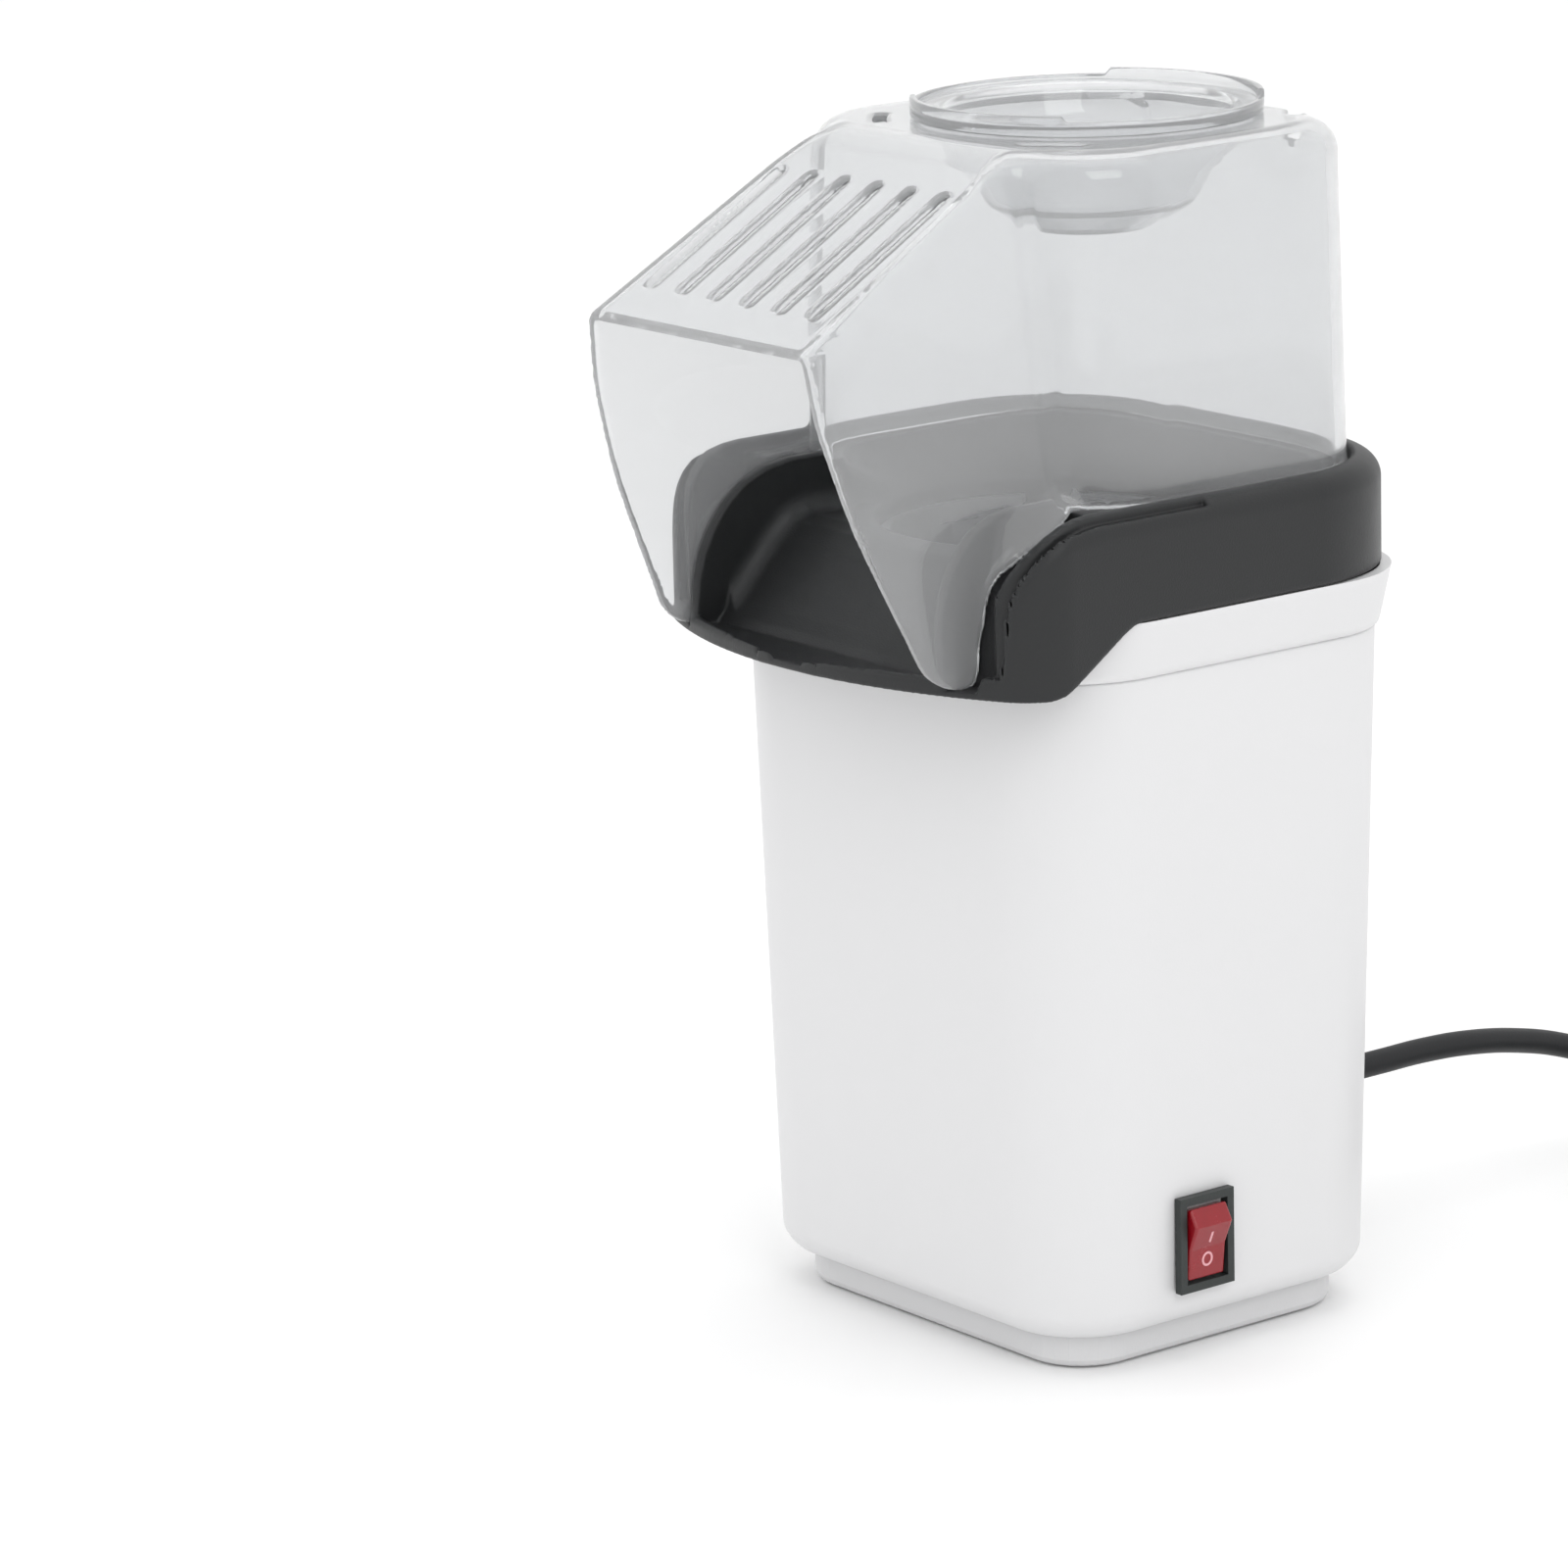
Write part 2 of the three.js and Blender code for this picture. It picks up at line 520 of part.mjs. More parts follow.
function switchBody() {
  const { x, y, z, width, height, proud } = SWITCH;
  const block = (d, x0, x1) => solid(box(
    x0, x1, y - width / 2 + d, y + width / 2 - d, z - height / 2 + d, z + height / 2 - d));
  const bezel = block(0, x, x + proud);
  const can = block(1.5, x - 18, x + 0.5);
  const well = block(1.8, x - 6, x + 5);
  return geometryOf(bezel.add(can).subtract(well));
}

/** The rocker: a nearly flat face up to a ridge, and a shorter one falling back above it. */
function rocker() {
  const { x, y, z, tilt } = SWITCH;
  const edge = [[1.1, 8.1], [3.7, 4.8], [2.1, -1], [2.4, -7.8], [-2.6, -6.8], [-2.6, 6.8]];
  const half = 5.3;
  return alongY(edge, -half, half).rotateY(rad(tilt)).translate(x, y, z);
}

add('switch_body', switchBody(), 'black');
add('switch_rocker', rocker(), 'red');
for (const [name, dz] of [['upper', 6], ['lower', -6]]) {
  const { x, y, z } = SWITCH;
  const tab = box(x - 27, x - 18.3, y - 2.4, y + 2.4, z + dz - 0.4, z + dz + 0.4);
  add(`switch_terminal_${name}`, tab, 'brass');
}

// ---------------------------------------------------------------- hood and measuring cup

/** The hood's side profile (y, z); d lowers its top by the wall and opens its front and its foot. */
function hoodSide(d) {
  const { deck, seat, slopeY, noseY, noseZ } = HOOD;
  if (d) {
    const drop = d / Math.cos(Math.atan2(deck - noseZ, slopeY - noseY));
    const slope = (deck - noseZ) / (slopeY - noseY);
    return [
      [60, 130], [60, deck - d], [slopeY + (drop - d) / slope, deck - d],
      [-110, noseZ - drop - slope * (110 + noseY)], [-110, 130],
    ];
  }
  return [
    [60, seat], [60, deck], [slopeY, deck], [noseY, noseZ], [noseY - 0.7, 224], [-94.4, 211], [-92, 202],
    [-88, 189.5], [-84, 180], [-76.6, 164], [-73.5, 157.6], [-70.1, 154.6], [-66.4, 153.1], [-62.5, 153],
    [-60.8, 153.6], [-59.7, 155.6], [-58.9, 161], [-57.6, 164.8], [-56.6, 168.7], [-54.8, 172.5],
    [-51.9, 175], [-46.3, 178.2], [-40.7, 180.5], [-36, 182.9], [-33.6, seat],
  ];
}

/** The hood's rear from above: round front corners, and large squarer ones behind. */
function hoodPlan(a, front, back, d) {
  const [r, rear, k] = [26 - d, 33 - d, 2.9];
  const [half, y0, y1] = [a - d, front + d, back - d];
  const corner = (sx, cy, size, sy, n, t) => v2(
    sx * (half - size + size * Math.abs(Math.cos(t)) ** (2 / n)),
    cy + sy * size * Math.abs(Math.sin(t)) ** (2 / n));
  const quarter = Array.from({ length: 10 }, (_, i) => (i * Math.PI) / 18);
  return [
    ...quarter.map((t) => corner(1, y1 - rear, rear, 1, k, t)),
    ...quarter.map((t) => corner(-1, y1 - rear, rear, 1, k, Math.PI / 2 - t)),
    ...quarter.map((t) => corner(-1, y0 + r, r, -1, 2, t)),
    ...quarter.map((t) => corner(1, y0 + r, r, -1, 2, Math.PI / 2 - t)),
  ];
}

/** The outside of the hood's rear and of its spout, d inside it. */
function hoodForm(d) {
  const { deck, seat } = HOOD;
  const foot = d ? seat - 5 : seat;
  const rear = [[foot, 0], [deck - 8, 0], [deck - 5.2, 1], [deck - 2.2, 3.2], [deck - 0.6, 5.8], [deck, 8.4]]
    .map(([z, round], i) => {
      const level = i ? 50.2 : 52.6;
      return at(hoodPlan(level - round, -38.2 + round, 48.9 - round, d), z - (i ? d : 0));
    });
  const half = (z) => SPOUT.half + SPOUT.flare * (SPOUT.at - z) - d;
  const section = [[-half(130), 130], [half(130), 130], [half(deck), deck - d], [-half(deck), deck - d]];
  const cheeks = alongY(section, -112, -12);
  return solid(skin(rear)).add(solid(cheeks));
}

function hood() {
  const { wall, deck, slopeY, noseY, noseZ } = HOOD;
  let shell = hoodForm(0).intersect(solid(acrossX(hoodSide(0), 80)))
    .subtract(hoodForm(wall).intersect(solid(acrossX(hoodSide(wall), 80))));
  const tilt = Math.atan2(deck - noseZ, slopeY - noseY);
  for (let i = -2.5; i <= 2.5; i += 1) {
    const slot = box(-1.5, 1.5, -21, 21, -6, 6).rotateX(tilt).translate(i * 10.8, -69.7, 242.3 - 0.6);
    shell = shell.subtract(solid(slot));
  }
  shell = shell.subtract(solid(cylinder(CUP.hole, deck - 8, deck + 8, 48).translate(0, CUP.y, 0)));
  for (const angle of [50, 130, 230, 310]) {
    const vent = new THREE.Shape();
    vent.absarc(0, 0, 45.4, rad(angle - 9), rad(angle + 9), false);
    vent.absarc(0, 0, 42.6, rad(angle + 9), rad(angle - 9), true);
    const cut = new THREE.ExtrudeGeometry(vent, { depth: 20, bevelEnabled: false, curveSegments: 5 });
    shell = shell.subtract(solid(cut.translate(0, CUP.y, deck - 12)));
  }
  return geometryOf(shell);
}

function measuringCup() {
  const [r, z] = [CUP.rim, HOOD.deck + GAP];
  const cup = solid(turned([
    [0, 235], [14, 235], [22, 240], [27, 248], [31, 255], [32.6, z], [r, z], [r, 263.6], [r - 1.6, 263.6],
    [r - 1.6, z + 2], [31.4, z + 1.6], [29.2, 255.4], [25.4, 249], [20.8, 241.6], [13.2, 236.8], [0, 236.8],
  ], 44));
  const low = new THREE.Shape();
  for (const side of [1, -1]) {
    low.moveTo(0, 0);
    for (const t of [-48, -24, 0, 24, 48].map(rad)) {
      low.lineTo(side * 60 * Math.cos(t), side * 60 * Math.sin(t));
    }
  }
  const notch = new THREE.ExtrudeGeometry(low, { depth: 10, bevelEnabled: false }).translate(0, 0, 262.3);
  return geometryOf(cup.subtract(solid(notch)));
}

add('hood', hood(), 'clear');
add('measuring_cup', measuringCup().translate(0, CUP.y, 0), 'clear');

// ---------------------------------------------------------------- cord, coil and plug

const along = (g) => g.rotateX(-Math.PI / 2).translate(0, 0, CORD.z); // a turned piece laid along +Y

add('strain_relief', along(turned([
  [0, 42], [6.4, 42], [6.4, 44.6], [4.6, 45], [4.6, 48.2], [8, 48.4], [8, 50], [6, 51], [4, CORD.y - GAP],
  [0, CORD.y - GAP],
], 24)), 'black');

const R = CORD.d / 2;
const CORD_ROUTE = [
  [0, CORD.y, CORD.z], [0, 84, 33], [0, 94, 33], [0, 106, 33], [0, 121, 32], [0, 137, 29.3], [0.6, 150, 25.8],
  [3, 162, 21], [7.5, 174, 15.5], [14, 184.5, 10.4], [22, 192, 6.6], [31, 196.8, 4.2], [40, 199.2, R + 0.1],
  [46, 199.9, R],
];
add('power_cord', tube(CORD_ROUTE, R, 8, 24), 'black');

const COIL_TIE = 30; // degrees round the coil
function cordCoil() {
  const { inner, outer, height } = COIL;
  let ring = solid(turned([[inner, 0], [outer, 0], [outer, height], [inner, height], [inner, 0]], 40));
  const entry = box(-34, -13.4, 29.8, 50, -1, CORD.d + 0.8);
  const leaving = box(30.8, 50, -34, -13, 4.4, height + 1);
  const groove = box(inner - 3, outer + 3, -2.3, 2.3, -1, 1.1).rotateZ(rad(COIL_TIE));
  for (const cut of [entry, leaving, groove]) ring = ring.subtract(solid(cut));
  return geometryOf(ring);
}

function coilTie() {
  const { inner, outer, height } = COIL;
  const strap = solid(box(inner - 1.3, outer + 1.1, -2, 2, 0, height + 1.1));
  const hole = solid(box(inner - 0.5, outer + GAP, -3, 3, 0.8, height + GAP));
  return geometryOf(strap.subtract(hole)).rotateZ(rad(COIL_TIE));
}

add('cord_coil', cordCoil().translate(COIL.x, COIL.y, 0), 'black');
add('coil_tie', coilTie().translate(COIL.x, COIL.y, 0), 'black');
const TAIL = [[94.1, 151, 8], [94.1, 149, 7.7], [94.1, 147, 7.4], [94.1, 143, 6.8], [94.1, 139.3, 6.6]];
add('cord_tail', tube(TAIL, R, 8, 6), 'black');

function plugBody() {
  const relief = solid(turned([[0, 0], [4, 0], [5.6, 14], [5.6, 17], [0, 17]], 20).rotateX(Math.PI / 2));
  const grip = solid(skin([[16, 8.5, 4.8, 3], [19, 10.5, 6.2, 3.5], [32, 10.8, 6.4, 3.5], [34, 12.3, 6.5, 3],
    [42, 12.3, 6.5, 3]].map(([z, a, b, r]) => at(roundedRect({ a, b, r }, 5), z))).rotateX(Math.PI / 2));
  return geometryOf(relief.add(grip));
}

add('plug_body', plugBody().translate(PLUG.x, PLUG.y, PLUG.z), 'black');
for (const [name, dx] of [['left', -6.35], ['right', 6.35]]) {
  const y = PLUG.y - 42 - GAP;
  const blade = solid(box(dx - 0.75, dx + 0.75, y - 16, y, -3.15, 3.15));
  const eye = solid(cylinder(1.6, -3, 3, 12).rotateY(Math.PI / 2).translate(dx, y - 11.5, 0));
  add(`plug_blade_${name}`, geometryOf(blade.subtract(eye)).translate(PLUG.x, 0, PLUG.z), 'brass');
}

// ---------------------------------------------------------------- inner wires

const WIRES = {
  wire_live: [
    [2, 41, 33], [9, 36, 32], [14, 24, 28], [18, 10, 24], [20, -2, 21.5], [23, -9, 20.6], [29.1, -11, 20.6],
  ],
  wire_neutral: [
    [-2, 41, 33], [-9, 36, 34], [-14, 24, 37], [-16, 13, 37.5], [-18.5, 8.5, 36.5], [-21.9, 8, 36],
  ],
  wire_heater: [
    [29.1, -11, 32.6], [26.5, -12.5, 34], [29, -16, 41], [35, -21, 50], [40, -27, 62], [40, -28, 86],
    [43, -26, 95], [46, -16, 108], [45, -11, 115], [44, -9.4, 118],
  ],
  wire_motor_a: [
    [-21.4, -6, 20], [-18.5, -6, 17], [-16.8, -5.6, 11], [-11, -5, 9.5], [-8, -4.6, 10.5], [-7.5, -4.5, 12.6],
  ],
  wire_motor_b: [
    [-21.4, 6, 20], [-18.5, 6, 17], [-16.8, 5.6, 11], [-11, 5, 9.5], [-8, 4.6, 10.5], [-7.5, 4.5, 12.6],
  ],
};
for (const [name, points] of Object.entries(WIRES)) {
  add(name, tube(points, 1, 5, points.length * 3), name.includes('motor') ? 'inner' : 'sleeve');
}

export default machine;
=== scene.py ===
import math

import bpy
import numpy as np
from mathutils import Matrix, Vector


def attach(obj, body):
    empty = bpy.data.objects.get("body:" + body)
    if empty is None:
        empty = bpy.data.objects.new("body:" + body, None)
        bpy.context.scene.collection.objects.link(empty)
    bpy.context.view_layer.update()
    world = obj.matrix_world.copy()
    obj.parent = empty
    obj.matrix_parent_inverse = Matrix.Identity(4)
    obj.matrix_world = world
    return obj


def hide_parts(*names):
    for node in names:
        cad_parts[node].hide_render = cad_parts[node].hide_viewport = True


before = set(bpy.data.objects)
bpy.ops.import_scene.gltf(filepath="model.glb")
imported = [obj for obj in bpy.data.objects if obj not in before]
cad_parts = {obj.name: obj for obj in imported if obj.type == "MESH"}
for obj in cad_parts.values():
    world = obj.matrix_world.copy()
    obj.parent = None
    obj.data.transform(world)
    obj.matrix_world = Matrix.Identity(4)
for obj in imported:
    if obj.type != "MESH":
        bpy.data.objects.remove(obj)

# Driving sizes in mm and degrees, measured from the body's axis and the table.
BODY_Y = 19.9  # the body's own axis, behind the middle of the whole machine
CAMERA = dict(
    azimuth=49.88, elevation=12.5, yaw=-2.38, pitch=-1.35, roll=-0.95,
    distance=1443.24, aim=150, lens=153.9)
HOUSING_FOOT = 8.2
HOUSING_EDGE = 13.5  # above the rounded foot
STEP = 151.3  # the shallow step under the flared band
BAND = 152.2  # where the band begins
BAND_OUT = 0.8  # how far it stands out
SHELL_TOP = 164.4  # the housing's edge inside the collar
SHELL_WALL = 2.4
SIDE_EDGE = 164.7  # the lower edge of the collar's side
LIP = 155.2  # the lip's rim
CREST = 187.9  # the collar's top
LEDGE = 185.0  # the hood's ledge inside it
RIM = 6.2  # width of the collar's rim
SEAT = 185.3  # the hood's lower edge
DECK = 258.8  # the hood's flat top
SLOPE = ((-38.8, DECK), (-95.5, 226.0))  # the sloping plate's upper and lower edges (y, z)
HOOD_WALL = 2.0
CUP_Y = 9.6
CUP_HOLE = 34.0  # radius of the hole in the deck
CUP_RIM = 37.6  # radius of the cup's flange
BOWL = 39  # radius of the funnel at the chamber
CHUTE_IN, CHUTE_MIDDLE, CHUTE_HALF = 5.2, 3.8, 1.4  # the chute's walls inside the spout's face
CORD_R = 2.9
CORD_Z = 33  # where the cord leaves the housing
COIL = (60.0, 166.0)  # the coil's middle (x, y)
PLUG = (94.1, 6.6)  # the plug's middle (x, z)

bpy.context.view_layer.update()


def metres(points):
    """Points in mm about the body's axis, as metres in the row frame."""
    return (np.asarray(points, float).reshape(-1, 3) + (0, BODY_Y, 0)) / 1000


def place(x, y, z):
    """One point in mm, as a vector in the row frame."""
    return Vector((x / 1000, (y + BODY_Y) / 1000, z / 1000))


# ---------------------------------------------------------------- camera


def camera():
    """The fixed view, turned a little off the aim in yaw, pitch and roll."""
    turns = ("azimuth", "elevation", "yaw", "pitch", "roll")
    a, e, yaw, pitch, roll = (math.radians(CAMERA[k]) for k in turns)
    back = Vector((math.sin(a) * math.cos(e), -math.cos(a) * math.cos(e), math.sin(e)))
    right = Vector((math.cos(a), math.sin(a), 0))
    up = back.cross(right)
    centre = place(0, 0, CAMERA["aim"]) + back * CAMERA["distance"] / 1000
    right, back = right * math.cos(yaw) + back * math.sin(yaw), back * math.cos(yaw) - right * math.sin(yaw)
    up, back = up * math.cos(pitch) + back * math.sin(pitch), back * math.cos(pitch) - up * math.sin(pitch)
    right, up = right * math.cos(roll) + up * math.sin(roll), up * math.cos(roll) - right * math.sin(roll)
    data = bpy.data.cameras.new("view")
    data.lens = CAMERA["lens"]
    data.sensor_width = 36
    data.clip_start = 0.05
    data.clip_end = 60
    eye = bpy.data.objects.new("view", data)
    eye.matrix_world = Matrix.Translation(centre) @ Matrix((right, up, back)).transposed().to_4x4()
    bpy.context.scene.collection.objects.link(eye)
    bpy.context.scene.camera = eye


camera()

# ---------------------------------------------------------------- materials


def node_maker(tree):
    """A short way to add a node, with its inputs linked or set."""

    def make(kind, inputs=None, **settings):
        node = tree.nodes.new(kind)
        for key, value in settings.items():
            setattr(node, key, value)
        for key, value in (inputs or {}).items():
            socket = node.inputs[key]
            if isinstance(value, bpy.types.NodeSocket):
                tree.links.new(value, socket)
            else:
                socket.default_value = value
        return node

    return make


def shade(colour, factor):
    """A colour made lighter or darker."""
    return tuple(min(1.0, c * factor) for c in colour[:3]) + (1,)


def srgb(code):
    """A colour given by its usual hex code, made linear."""
    parts = [int(code[i : i + 2], 16) / 255 for i in (0, 2, 4)]
    return tuple(p / 12.92 if p <= 0.04045 else ((p + 0.055) / 1.055) ** 2.4 for p in parts) + (1,)


MIXED = 2  # the colour output of a mix node


def material(
    name,
    code,
    rough=0.45,
    vary=0.06,
    patch=35,
    grain=1600,
    bump=0.12,
    wear=0.15,
    stretch=(1, 1, 1),
    **sockets,
):
    """A solid finish: patchy colour and roughness, fine grain, and paler worn edges."""
    made = bpy.data.materials.new(name)
    made.use_nodes = True
    tree = made.node_tree
    tree.nodes.clear()
    make = node_maker(tree)
    colour = srgb(code)
    at = make("ShaderNodeTexCoord").outputs["Object"]
    at = make("ShaderNodeMapping", {"Vector": at, "Scale": stretch}).outputs[0]
    broad = {"Vector": at, "Scale": patch, "Detail": 4, "Roughness": 0.6}
    broad = make("ShaderNodeTexNoise", broad).outputs["Fac"]
    fine = {"Vector": at, "Scale": grain, "Detail": 2, "Roughness": 0.5}
    fine = make("ShaderNodeTexNoise", fine).outputs["Fac"]
    tones = {"Factor": broad, "A": shade(colour, 1 - vary), "B": shade(colour, 1 + vary)}
    tone = make("ShaderNodeMix", tones, data_type="RGBA").outputs[MIXED]
    edge = make("ShaderNodeNewGeometry").outputs["Pointiness"]
    edge = {"Value": edge, "From Min": 0.52, "From Max": 0.6, "To Max": wear}
    edge = make("ShaderNodeMapRange", edge).outputs[0]
    pale = {"Factor": edge, "A": tone, "B": shade(colour, 1.5)}
    pale = make("ShaderNodeMix", pale, data_type="RGBA").outputs[MIXED]
    gloss = {"Value": broad, "From Min": 0.3, "From Max": 0.7}
    gloss |= {"To Min": rough * 0.85, "To Max": min(1, rough * 1.15)}
    gloss = make("ShaderNodeMapRange", gloss).outputs[0]
    relief = make("ShaderNodeBump", {"Height": fine, "Strength": bump, "Distance": 0.0004}).outputs[0]
    base = {"Base Color": pale, "Roughness": gloss, "Normal": relief}
    shader = make("ShaderNodeBsdfPrincipled", base)
    for key, value in sockets.items():
        shader.inputs[key.replace("_", " ")].default_value = value
    make("ShaderNodeOutputMaterial", {"Surface": shader.outputs[0]})
    return made


LOOK = {
    "shell": material("shell", "DADADB", rough=0.4, vary=0.012, grain=2400, bump=0.04, wear=0.08),
    "base": material("base", "CFCFD0", rough=0.5, vary=0.02, bump=0.06),
    "collar": material(
        "collar", "242526", rough=0.42, vary=0.08, grain=2600, bump=0.2, wear=0.3,
        Specular_IOR_Level=0.35),
    "clear_plastic": material(
        "clear_plastic", "EFF0F1", rough=0.02, vary=0.006, patch=12, grain=60, bump=0.008, wear=0,
        Transmission_Weight=0.82, IOR=1.45),
    "bezel": material("bezel", "232827", rough=0.42, vary=0.06, bump=0.1, wear=0.25),
    "rocker_red": material(
        "rocker_red", "8C0B18", rough=0.25, vary=0.12, patch=220, bump=0.03, wear=0.1,
        Coat_Weight=0.2, Subsurface_Weight=0.15, Subsurface_Scale=0.002),
    "rubber": material("rubber", "26272A", rough=0.8, vary=0.1, bump=0.25, wear=0.2),
    "chamber": material(
        "chamber", "B9BABC", rough=0.3, vary=0.08, grain=900, stretch=(1, 1, 12), Metallic=1.0),
    "jacket": material(
        "jacket", "A9ABAD", rough=0.38, vary=0.08, grain=900, stretch=(1, 1, 8), Metallic=1.0),
    "steel": material("steel", "9EA0A2", rough=0.33, vary=0.07, Metallic=1.0),
    "resistance_wire": material("resistance_wire", "6E6A66", rough=0.5, vary=0.2, Metallic=1.0),
    "mica": material(
        "mica", "C9B68C", rough=0.35, vary=0.2, patch=120, grain=700, bump=0.2, stretch=(1, 1, 3)),
    "inner_plastic": material("inner_plastic", "3A3D40", rough=0.55, vary=0.08),
    "fan_plastic": material("fan_plastic", "24272B", rough=0.4, vary=0.06),
    "magnet": material("magnet", "4A4A4C", rough=0.7, vary=0.15, bump=0.3),
    "copper": material("copper", "B2643A", rough=0.3, vary=0.12, grain=3000, bump=0.3, Metallic=1.0),
    "board": material("board", "3C6A45", rough=0.5, vary=0.12, grain=1500, bump=0.15),
    "brass": material("brass", "B89A55", rough=0.28, vary=0.1, Metallic=1.0),
    "cord_black": material(
        "cord_black", "1C1D1F", rough=0.5, vary=0.08, grain=2200, bump=0.15, wear=0.1,
        Specular_IOR_Level=0.35),
    "wire_sleeve": material("wire_sleeve", "D8D3C8", rough=0.5, vary=0.1),
    "mark": material("mark", "E6A9B0", rough=0.4, vary=0.04, bump=0.02),
}

# ---------------------------------------------------------------- mesh making


def piece(name, points, faces, look, body, replaced=(), sharp=35):
    """A mesh piece from points in mm, riding on a body and standing for CAD nodes."""
    mesh = bpy.data.meshes.new(name)
    mesh.from_pydata([tuple(p) for p in metres(points)], [], [tuple(map(int, f)) for f in faces])
    mesh.validate()
    mesh.materials.append(LOOK[look])
    mesh.shade_smooth()
    if sharp:
        mesh.set_sharp_from_angle(angle=math.radians(sharp))
    made = bpy.data.objects.new(name, mesh)
    bpy.context.scene.collection.objects.link(made)
    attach(made, body)
    if replaced:
        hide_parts(*replaced)
    return made


def strips(count, around, loop=False):
    """Quads between successive rings of the same number of points."""
    faces = []
    for i in range(count if loop else count - 1):
        for j in range(around):
            a, b = i * around + j, i * around + (j + 1) % around
            c = ((i + 1) % count) * around
            faces.append((a, b, c + (j + 1) % around, c + j))
    return faces


def loft(rings, loop=False, caps=(False, False)):
    """One mesh over rings of equal length; loop joins the last to the first, as for a sleeve."""
    points = np.concatenate([np.asarray(r, float) for r in rings])
    around = len(rings[0])
    faces = strips(len(rings), around, loop)
    if caps[0]:
        faces.append(tuple(reversed(range(around))))
    if caps[1]:
        faces.append(tuple(range((len(rings) - 1) * around, len(rings) * around)))
    return points, faces


def lathe_y(profile, z, steps=40):
    """A turned closed shape about a line along Y; profile is (r, y)."""
    turn = np.arange(steps) * 2 * np.pi / steps
    rings = [np.c_[r * np.sin(turn), np.full(steps, y), z + r * np.cos(turn)] for r, y in profile]
    return loft(rings, caps=(True, True))


def rounded(profile, radius, steps=4):
    """An open polyline with its inner corners rounded by short arcs of points."""
    profile = [np.array(p, float) for p in profile]
    out = [profile[0]]
    for a, b, c in zip(profile, profile[1:], profile[2:]):
        before, after = np.linalg.norm(a - b), np.linalg.norm(c - b)
        reach = min(radius, before / 2.1, after / 2.1)
        p, q = b + (a - b) / before * reach, b + (c - b) / after * reach
        for t in np.linspace(0, 1, steps + 1):
            out.append((1 - t) ** 2 * p + 2 * t * (1 - t) * b + t * t * q)
    out.append(profile[-1])
    return out


def smooth(points, steps=6):
    """A smooth line through points, with steps pieces between each pair."""
    p = np.array(points, float)
    p = np.vstack([2 * p[0] - p[1], p, 2 * p[-1] - p[-2]])
    out = []
    for a, b, c, d in zip(p, p[1:], p[2:], p[3:]):
        for t in np.arange(steps) / steps:
            bend = (2 * a - 5 * b + 4 * c - d) * t**2 + (3 * b - a - 3 * c + d) * t**3
            out.append(0.5 * (2 * b + (c - a) * t + bend))
    out.append(p[-2])
    return np.array(out)


# ---------------------------------------------------------------- shapes as distance fields


def both(a, b, r):
    """Where two shapes overlap, with the edge between them rounded by r."""
    return np.minimum(-r, np.maximum(a, b)) + np.hypot(np.maximum(r + a, 0), np.maximum(r + b, 0))


def either(a, b, r):
    """Two shapes joined, with the hollow between them filled by a fillet of r."""
    return np.maximum(r, np.minimum(a, b)) - np.hypot(np.maximum(r - a, 0), np.maximum(r - b, 0))


def ramp(value, low, high):
    """From 0 at low to 1 at high, easing in and out."""
    t = np.clip((value - low) / (high - low), 0, 1)
    return t * t * (3 - 2 * t)


def polygon(points):
    """Signed distance from a closed outline, negative inside."""
    corners = np.array(points, float)

    def field(u, v):
        best = np.full(np.broadcast(u, v).shape, 1e9)
        inside = np.zeros(best.shape, bool)
        for (ax, ay), (bx, by) in zip(corners, np.roll(corners, -1, axis=0)):
            ex, ey = bx - ax, by - ay
            t = np.clip(((u - ax) * ex + (v - ay) * ey) / (ex * ex + ey * ey), 0, 1)
            best = np.minimum(best, (u - ax - t * ex) ** 2 + (v - ay - t * ey) ** 2)
            if ey:
                inside = inside ^ (((ay > v) != (by > v)) & (u < ax + (v - ay) * ex / ey))
        return np.where(inside, -1, 1) * np.sqrt(best)

    return field


def half_plane(a, b):
    """Signed distance from the line a to b, negative on its left."""
    (ax, ay), (bx, by) = a, b
    length = math.hypot(bx - ax, by - ay)
    return lambda u, v: ((u - ax) * (by - ay) - (v - ay) * (bx - ax)) / length


def edge_cells(inside, axis):
    """The grid edges along an axis that cross the surface, and if their first corner is inside."""
    ahead = np.take(inside, range(1, inside.shape[axis]), axis)
    here = np.take(inside, range(inside.shape[axis] - 1), axis)
    at = np.argwhere(here != ahead)
    return at, here[tuple(at.T)]


